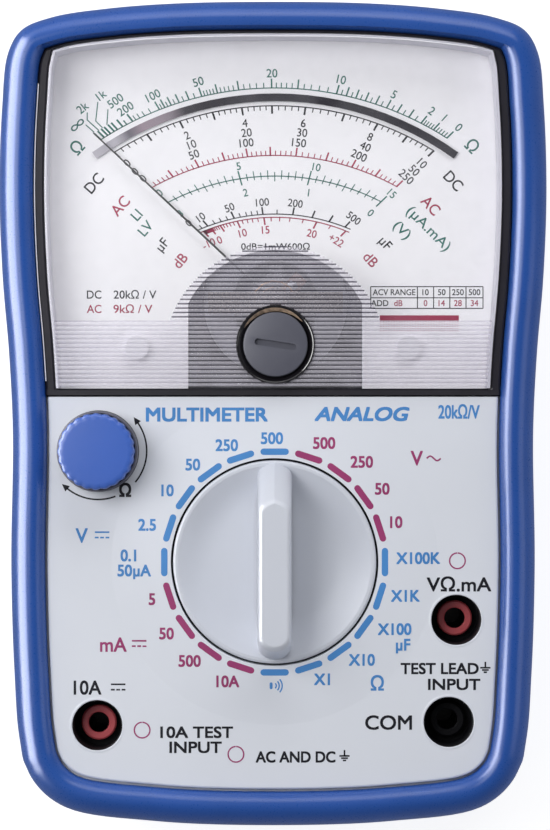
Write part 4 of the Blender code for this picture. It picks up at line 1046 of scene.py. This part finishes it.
def build_dial_print():
    """The dial's scales, figures, words, and the table of what to add for each range."""
    black, red, green = (Ink(lambda _x, _y: DIAL_TOP) for _ in range(3))
    dial_ticks(black, red, green)
    for ink, group, height in (
        (green, GREEN_OHMS, 1.56), (black, BLACK_VOLTS, 1.5), (green, GREEN_LEAK, 1.4),
        (black, BLACK_CAPACITY, 1.4), (red, RED_DECIBELS, 1.4),
    ):
        for body, x, y, turn in group:
            ink.text(body, (x, y), height, turn=turn, weight=FIGURE_WEIGHT)
    green.text("∞", (-36.9, 54.4), 1.9, width=3.0, turn=42.0)
    for x, y, turn in ((-36.9, 50.1, 47.0), (37.5, 50.4, -46.0)):
        green.text("Ω", (x, y), 2.35, turn=turn, weight=0.02)
    for points in (
        [(-35.3, 54.4), (-33.7, 53.0)], [(-35.0, 56.7), (-35.0, 55.3), (-32.8, 53.3)],
        [(-33.0, 58.7), (-33.4, 55.1), (-32.1, 53.8)], [(-31.1, 57.3), (-31.3, 54.4)],
    ):
        green.line(points, 0.2)
    for ink, body, x, y, turn, height in (
        (black, "DC", -33.7, 43.4, 49.0, 2.05), (red, "AC", -28.8, 39.1, 49.0, 2.05),
        (green, "LI", -25.7, 37.4, 48.0, 1.9), (green, "LV", -24.0, 34.9, 49.0, 1.9),
        (black, "µF", -20.9, 31.8, 51.0, 1.8), (red, "dB", -17.5, 28.8, 50.0, 1.9),
        (black, "DC", 34.0, 43.8, -47.0, 2.05), (red, "AC", 29.7, 39.2, -47.0, 2.05),
        (black, "µF", 21.2, 32.1, -48.0, 1.8), (red, "dB", 18.4, 29.0, -48.0, 1.9),
    ):
        ink.text(body, (x, y), height, turn=turn, weight=WORD_WEIGHT)
    for ink, body, x, y, height, width in (
        (black, "0dB=1mW600Ω", 0.45, 31.45, 1.2, 12.9),
        (black, "DC", -33.7, 22.4, 1.5, 2.7), (black, "20kΩ / V", -26.0, 22.4, 1.5, 8.0),
        (red, "AC", -33.7, 19.7, 1.5, 2.7), (red, "9kΩ / V", -26.4, 19.7, 1.5, 7.3),
        (black, "ADD", 20.1, 20.8, 1.1, None), (red, "dB", 23.6, 20.8, 1.1, None),
        (black, "ACV RANGE", 22.8, 22.85, 1.1, 8.0),
    ):
        ink.text(body, (x, y), height, width=width, weight=WORD_WEIGHT)
    green.text("(µA.mA)", (29.4, 34.9), 1.9, width=10.5, turn=-45.0, weight=WORD_WEIGHT)
    green.text("(V)", (24.4, 34.6), 1.8, width=3.5, turn=-45.0, weight=WORD_WEIGHT)

    columns = [18.4, 27.2, 30.25, 33.3, 36.35, 39.55]
    rows = [23.9, 21.8, 19.8]
    for x in columns:
        black.line([(x, rows[0]), (x, rows[-1])], 0.18)
    for y in rows:
        black.line([(columns[0], y), (columns[-1], y)], 0.18)
    for ink, y, words in ((black, 22.85, ("10", "50", "250", "500")), (red, 20.8, ("0", "14", "28", "34"))):
        for left, right, body in zip(columns[1:], columns[2:], words):
            ink.text(body, ((left + right) / 2.0, y), 1.1, weight=WORD_WEIGHT)
    box(red, 20.1, 17.5, 14.9, 1.0)
    for column in range(DOT_COLUMNS):
        for row in range(DOT_ROWS):
            box(red, 20.2 + column * DOT_PITCH[0], 15.5 + row * DOT_PITCH[1], *DOT_SIZE)
    black.finish("dial_print_black", PRINT_BLACK, "ink_black")
    red.finish("dial_print_red", DIAL_RED, "ink_red")
    green.finish("dial_print_green", DIAL_GREEN, "ink_green")


# ---------------------------------------------------------------- panel print
DASHES = 20
DASH_RADIUS = 20.5
BLUE_LABELS = [
    ("500", -0.2, -4.6), ("250", -8.6, -5.9), ("50", -14.9, -9.5), ("10", -19.6, -14.3),
    ("2.5", -23.4, -20.7), ("0.1", -26.9, -26.4), ("50µA", -25.8, -29.2), ("X100K", 27.0, -26.9),
    ("X1K", 24.6, -33.9), ("X100", 22.6, -40.1), ("µF", 24.2, -43.0), ("X10", 16.5, -45.8),
    ("X1", 9.1, -49.4),
]
MAUVE_LABELS = [
    ("5", -22.5, -34.5), ("50", -19.8, -40.9), ("500", -15.5, -46.0), ("10A", -8.4, -49.8),
    ("500", 9.5, -5.5), ("250", 16.5, -9.0), ("50", 20.3, -14.0), ("10", 22.9, -20.2),
]
LABEL_HEIGHT, LABEL_WEIGHT = 2.05, 0.075
PEN = 0.3  # width of the signs' lines


def direct_current(ink, x, y, width=2.7):
    """The direct-current sign: a bar over three dashes."""
    ink.line([(x - width / 2.0, y + 0.52), (x + width / 2.0, y + 0.52)], PEN)
    dash = width * 0.26
    for index in (-1, 0, 1):
        middle = x + index * width * 0.37
        ink.line([(middle - dash / 2.0, y - 0.48), (middle + dash / 2.0, y - 0.48)], PEN)


def alternating_current(ink, x, y, width=2.6):
    """The alternating-current sign: one wave."""
    points = []
    for step in range(17):
        share = step / 16.0
        points.append((x + (share - 0.5) * width, y + 0.42 * math.sin(2.0 * math.pi * share)))
    ink.line(points, PEN)


def earth(ink, x, y):
    """The earth sign: a stem over three shrinking bars."""
    ink.line([(x, y + 1.1), (x, y)], PEN)
    for drop, half in ((0.0, 0.95), (0.42, 0.62), (0.84, 0.3)):
        ink.line([(x - half, y - drop), (x + half, y - drop)], PEN)


def arrow_arc(ink, at, radius, start, end):
    """An arc with an arrow head at its end. Angles run clockwise from +Y."""
    ink.arc(at, radius, PEN, start, end)
    tip = math.radians(end)
    middle = Vector((at[0] + radius * math.sin(tip), at[1] + radius * math.cos(tip)))
    turn = 1.0 if end > start else -1.0
    along = Vector((math.cos(tip), -math.sin(tip))) * turn
    across = Vector((-along.y, along.x))
    foot = middle - along * 0.2
    ink.face([middle + along * 1.2, foot - across * 0.65, foot + across * 0.65])


def build_panel_print():
    """The panel's ranges round the selector, with a dash for each, and the words and signs beside them."""
    blue, mauve, black = (Ink(cone_height) for _ in range(3))
    for ink, labels in ((blue, BLUE_LABELS), (mauve, MAUVE_LABELS)):
        for body, x, y in labels:
            ink.text(body, (x, y), LABEL_HEIGHT, weight=LABEL_WEIGHT)
    for index in range(DASHES):
        angle = 2.0 * math.pi * index / DASHES
        at = SELECTOR + Vector((math.sin(angle), math.cos(angle))) * DASH_RADIUS
        ink = mauve if 1 <= index <= 4 or 11 <= index <= 14 else blue
        ink.capsule(at, 1.2, 5.3, -angle + math.pi / 2.0)
    for ink, body, x, y, height, width, weight in (
        (blue, "MULTIMETER", -12.3, -0.2, 2.4, 22.5, 0.11), (blue, "20kΩ/V", 34.6, 0.3, 2.4, 7.6, 0.06),
        (blue, "V", -35.6, -22.7, 2.6, None, 0.06), (blue, "Ω", 19.4, -50.2, 2.6, None, 0.06),
        (mauve, "V", 26.75, -8.3, 2.6, None, 0.06), (mauve, "mA", -29.7, -43.0, 2.55, None, 0.06),
        (black, "10A", -34.5, -51.0, 2.5, None, 0.06), (black, "VΩ.mA", 34.6, -31.8, 2.5, 11.9, 0.06),
        (black, "TEST LEAD", 31.0, -47.45, 1.95, 14.4, 0.07), (black, "INPUT", 33.7, -50.4, 1.95, 9.6, 0.07),
        (black, "COM", 21.5, -57.5, 2.55, 8.6, 0.06), (black, "10A TEST", -14.2, -59.3, 2.0, 13.4, 0.07),
        (black, "INPUT", -14.4, -62.1, 2.0, 9.6, 0.07), (black, "AC AND DC", 4.2, -63.9, 1.95, 14.7, 0.07),
        (black, "Ω", -27.5, -14.3, 2.3, None, 0.09),
    ):
        ink.text(body, (x, y), height, width=width, weight=weight)
    blue.text("ANALOG", (16.55, -0.1), 2.4, width=17.5, slant=0.25, weight=0.12)
    for ink, x, y in ((blue, -31.8, -22.6), (mauve, -24.9, -42.8), (black, -28.8, -50.9)):
        direct_current(ink, x, y)
    alternating_current(mauve, 29.9, -8.35)
    for x, y in ((39.5, -47.3), (13.3, -63.7)):
        earth(black, x, y)
    for radius in (0.7, 1.25, 1.8):
        blue.arc((-0.1, -50.6), radius, 0.26, 48.0, 132.0)
    blue.capsule((-0.35, -50.6), 0.55, 1.3, 0.0)
    for centre in ((-24.35, -58.9), (-6.9, -63.4), (34.3, -27.4)):
        mauve.arc(centre, 1.45, 0.26, 2.0, 358.0)
    for start, end in ((130.0, 54.0), (159.0, 220.0)):
        arrow_arc(black, (-32.55, -6.95), 9.05, start, end)
    blue.finish("panel_print_blue", PRINT_BLUE, "ink_blue")
    mauve.finish("panel_print_mauve", PRINT_MAUVE, "ink_red")
    black.finish("panel_print_black", PRINT_BLACK, "ink_black")


# ---------------------------------------------------------------- controls
def bar_outline(half, low, high, arch, point):
    """A bar's level section: straight sides, a round foot, and a pointer end that comes to a blunt point."""
    outline = []
    for step in range(33):
        angle = math.pi * step / 32
        share = abs(math.cos(angle))
        back = arch * (1.0 - math.sin(angle)) + point * share * (1.0 - share)
        outline.append((half * math.cos(angle), high - back))
    for step in range(33):
        angle = math.pi + math.pi * step / 32
        outline.append((half * math.cos(angle), low + arch * (1.0 + math.sin(angle))))
    return outline


def handle_shape():
    """The selector's bar, with a long slope at its pointer end. Each level is (height, half width, lower end,
    upper end, roundness of the ends)."""
    levels = [
        (33.0, 3.20, -18.1, 18.5, 2.7), (35.7, 3.18, -18.05, 18.45, 2.7), (36.3, 3.16, -17.9, 18.05, 2.65),
        (44.5, 3.02, -15.9, 12.35, 2.5), (44.8, 2.94, -15.7, 12.1, 2.45), (45.1, 2.78, -15.45, 11.85, 2.35),
        (45.35, 2.55, -15.15, 11.5, 2.25), (45.47, 2.35, -14.95, 11.3, 2.15), (45.5, 2.2, -14.8, 11.15, 2.1),
    ]
    bm = bmesh.new()
    rows = []
    for z, half, low, high, arch in levels:
        outline = bar_outline(half, low, high, arch, 0.9)
        rows.append([vert(bm, SELECTOR.x + x, SELECTOR.y + y, z) for x, y in outline])
    shell(bm, rows)
    return as_object("selector_bar", bm)


def build_selector():
    """The range selector: a dished disc with the bar across it."""
    profile = [
        (0.0, 32.2), (KNOB_RADIUS, 32.2), (KNOB_RADIUS, 34.55), (KNOB_RADIUS - 0.12, 34.85),
        (KNOB_RADIUS - 0.45, 35.0), (KNOB_RADIUS - 0.95, 34.97), (17.55, 34.78), (16.9, 34.5), (15.6, 33.9),
        (14.2, 33.3), (12.8, 32.86), (11.4, 32.6), (9.6, 32.47), (0.0, 32.45),
    ]
    knob = as_object("selector_disc", turned(profile, SELECTOR, 144))
    carve(knob, handle_shape(), operation="UNION", crease=19.0)
    knob.name = "selector_face"
    piece(knob, KNOB, "selector", "panel", "selector_knob")


def build_ohm_knob():
    """The zero-ohm knob: a cap scalloped all round, over a plain collar."""
    lobes, steps, radius, scallop = 24, 288, 7.05, 0.2
    bm = bmesh.new()
    rows = []
    for shrink, z in ((0.35, 33.0), (0.0, 33.4), (0.0, 41.6), (0.16, 42.15), (0.5, 42.42), (1.2, 42.5)):
        row = []
        for step in range(steps):
            angle = 2.0 * math.pi * step / steps
            depth = scallop * max(0.0, 1.0 - shrink / 1.6)
            reach = radius - shrink - depth * (0.5 - 0.5 * math.cos(lobes * angle)) ** 1.5
            spoke = (reach * math.cos(angle), reach * math.sin(angle))
            row.append(vert(bm, OHM_KNOB[0] + spoke[0], OHM_KNOB[1] + spoke[1], z))
        rows.append(row)
    bridge(bm, rows)
    bm.faces.new(rows[0][::-1])
    centre = vert(bm, *OHM_KNOB, 42.45)
    for index in range(steps):
        bm.faces.new((rows[-1][index], rows[-1][(index + 1) % steps], centre))
    new_piece("zero_ohm_cap", bm, BLUE_CAP, "blue_plastic", "zero_ohm_knob", body="ohm_knob", crease=50.0)
    new_piece("zero_ohm_collar", turned([
        (7.1, 33.0), (7.45, 33.0), (7.5, 33.3), (7.5, 37.6), (7.4, 37.9), (7.1, 38.0),
    ], OHM_KNOB), COLLAR_GREY, "grey_plastic", body="ohm_knob")


def build_adjuster():
    """The zero adjuster: a slotted cap on a stem, with the off-centre pin that moves the zero lever."""
    cap_profile = [
        (0.0, 37.1), (5.6, 37.1), (5.86, 37.02), (5.97, 36.85), (6.0, 35.7), (2.6, 35.7), (2.6, 33.2),
        (0.0, 33.2),
    ]
    cap = as_object("adjuster_cap", turned(cap_profile, ADJUSTER))
    c, s = math.cos(math.radians(SLOT_TURN)), math.sin(math.radians(SLOT_TURN))
    points = [(x * c - y * s, x * s + y * c) for x, y in rounded_box((-3.9, 3.9), (-0.6, 0.6), 0.59)]
    slot = as_object("adjuster_slot", prism(points, 36.3, 38.0, ADJUSTER))
    carve(cap, slot)
    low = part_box("zero_adjuster")[0].z / MM
    pin = as_object("adjuster_pin", prism(circle(0.5, 24), low, 33.4, (ADJUSTER[0], ADJUSTER[1] - 1.0)))
    carve(cap, pin, operation="UNION")
    piece(cap, GREY, "adjuster", "grey_plastic", "zero_adjuster")


def build_needle():
    """The pointer: a fine tapered blade on a small hub, drawn along +Y and turned to its zero."""
    outline = [(0.13, POINTER_LENGTH), (-0.13, POINTER_LENGTH), (-0.22, 1.0), (-0.4, 0.0), (-0.36, -7.0),
               (0.36, -7.0), (0.4, 0.0), (0.22, 1.0)]
    blade = as_object("needle_blade", prism(outline, 28.75, 28.95))
    hub = as_object("needle_hub", turned([
        (0.9, 28.6), (1.55, 28.6), (1.7, 28.75), (1.7, 28.9), (1.55, 29.0), (0.9, 29.0),
    ], steps=48))
    bore = as_object("needle_bore", prism(circle(0.95, 48), 28.0, 30.0))
    carve(blade, hub, operation="UNION")
    carve(blade, bore)
    turn = Matrix.Rotation(math.radians(REST_ANGLE), 4, "Z")
    blade.data.transform(Matrix.Translation((*(PIVOT * MM), 0.0)) @ turn)
    piece(blade, NEEDLE, "needle", "needle_paint", "pointer")


def build_jacks():
    """The three test sockets: a dark liner, a coloured sleeve, and a metal contact tube painted near-black as
    shade deep in the bore.
    """
    for name, at in JACKS.items():
        new_piece(f"socket_liner_{name}", turned([
            (4.66, 33.9), (4.6, 34.0), (4.5, 33.9), (4.5, 27.0), (3.32, 27.0), (3.32, 26.65), (4.66, 26.65),
        ], at, 64), SOCKET_BLACK, "black_plastic")
        finish, slot = (SOCKET_BLACK, "black_plastic") if name == "common" else (RED_SLEEVE, "red_plastic")
        new_piece(f"socket_sleeve_{name}", turned([
            (1.9, 28.45), (1.92, 28.8), (2.15, 28.95), (3.0, 28.95), (3.28, 28.7), (3.28, 26.6),
            (5.9, 26.6), (5.9, 25.5), (2.65, 25.5), (2.65, 28.45),
        ], at, 64), finish, slot, f"jack_sleeve_{name}")
        new_piece(f"socket_contact_{name}", turned([
            (0.0, 12.0), (2.35, 12.0), (2.35, 28.2), (2.2, 28.3), (2.08, 28.3), (2.0, 28.2), (2.0, 13.0),
            (0.0, 13.0),
        ], at, 64), CONTACT_PAINTED_SHADE, "nickel", f"jack_contact_{name}")


# ---------------------------------------------------------------- light, camera and floor
def area_light(name, at, target, size, power):
    """A rectangular light at one point that faces another, in metres and watts."""
    data = bpy.data.lights.new(name, "AREA")
    data.shape = "RECTANGLE"
    data.size, data.size_y = size
    data.energy = power
    light = linked(name, data)
    light.location = at
    light.rotation_euler = (Vector(target) - Vector(at)).to_track_quat("-Z", "Y").to_euler()
    return light


def build_studio():
    """A bright room, a glowing white floor, and a camera straight above the meter."""
    scene = bpy.context.scene
    scene.view_settings.view_transform = "Standard"
    world = bpy.data.worlds.new("studio")
    world.use_nodes = True
    background = world.node_tree.nodes["Background"]
    background.inputs["Color"].default_value = (0.93, 0.95, 1.0, 1.0)
    background.inputs["Strength"].default_value = 0.24
    scene.world = world
    middle = (0.0, 0.0, 0.02)
    area_light("key_left", (-0.29, 0.12, 0.43), middle, (0.27, 0.35), 1.6)
    area_light("fill_top", (0.12, 0.62, 0.42), middle, (0.6, 0.35), 2.1)
    area_light("fill_right", (0.80, -0.10, 0.36), middle, (0.35, 0.6), 1.0)
    # Two broad strips that show only in gloss, for the gleam of the rubber's round edges.
    for name, at, size, power in (
        ("shine_left", (-0.42, 0.04, 0.10), (0.7, 0.42), 15.5),
        ("shine_top", (-0.05, 0.50, 0.12), (0.6, 0.26), 0.9),
    ):
        shine = area_light(name, at, (0.0, 0.0, 0.03), size, power)
        shine.visible_diffuse = False
        shine.visible_camera = False

    material, tree, output = new_tree("floor")
    shader = add(tree, "BsdfPrincipled", {
        "Roughness": 0.8, "Emission Color": (1.0, 1.0, 1.0, 1.0), "Emission Strength": 0.80,
    })
    paper = ramp(tree, noise(tree, 20.0), [0.44] * 3, [0.46] * 3)
    wire(tree, paper, "Color", shader, "Base Color")
    wire(tree, shader, "BSDF", output, "Surface")
    bm = bmesh.new()
    bmesh.ops.create_grid(bm, x_segments=1, y_segments=1, size=3.0)
    floor = as_object("floor", bm)
    floor.location.z = -0.0002
    floor.data.materials.append(material)
    floor.visible_glossy = False

    camera = bpy.data.cameras.new("camera")
    camera.sensor_width = 36.0
    camera.lens = 122.4
    camera.clip_start, camera.clip_end = 0.01, 10.0
    holder = linked("camera", camera)
    holder.location = (0.37 * MM, -0.28 * MM, 559.2 * MM)
    scene.camera = holder


def dress_cad_nodes():
    """Gives every CAD node that is shown its finish."""
    for row in frame["record"]["subparts"]:
        node = frame["nodes"][row["node"]]
        node.data.materials.clear()
        plated = row["node"].startswith("dial_screw")
        node.data.materials.append(PLATED if plated else SLOT_FINISH[row["material_slot"]])


dress_cad_nodes()
build_holster()
build_front_case()
build_housing()
build_dial()
build_window()
build_ribs()
build_dial_print()
build_panel_print()
build_selector()
build_ohm_knob()
build_adjuster()
build_needle()
build_jacks()
build_studio()
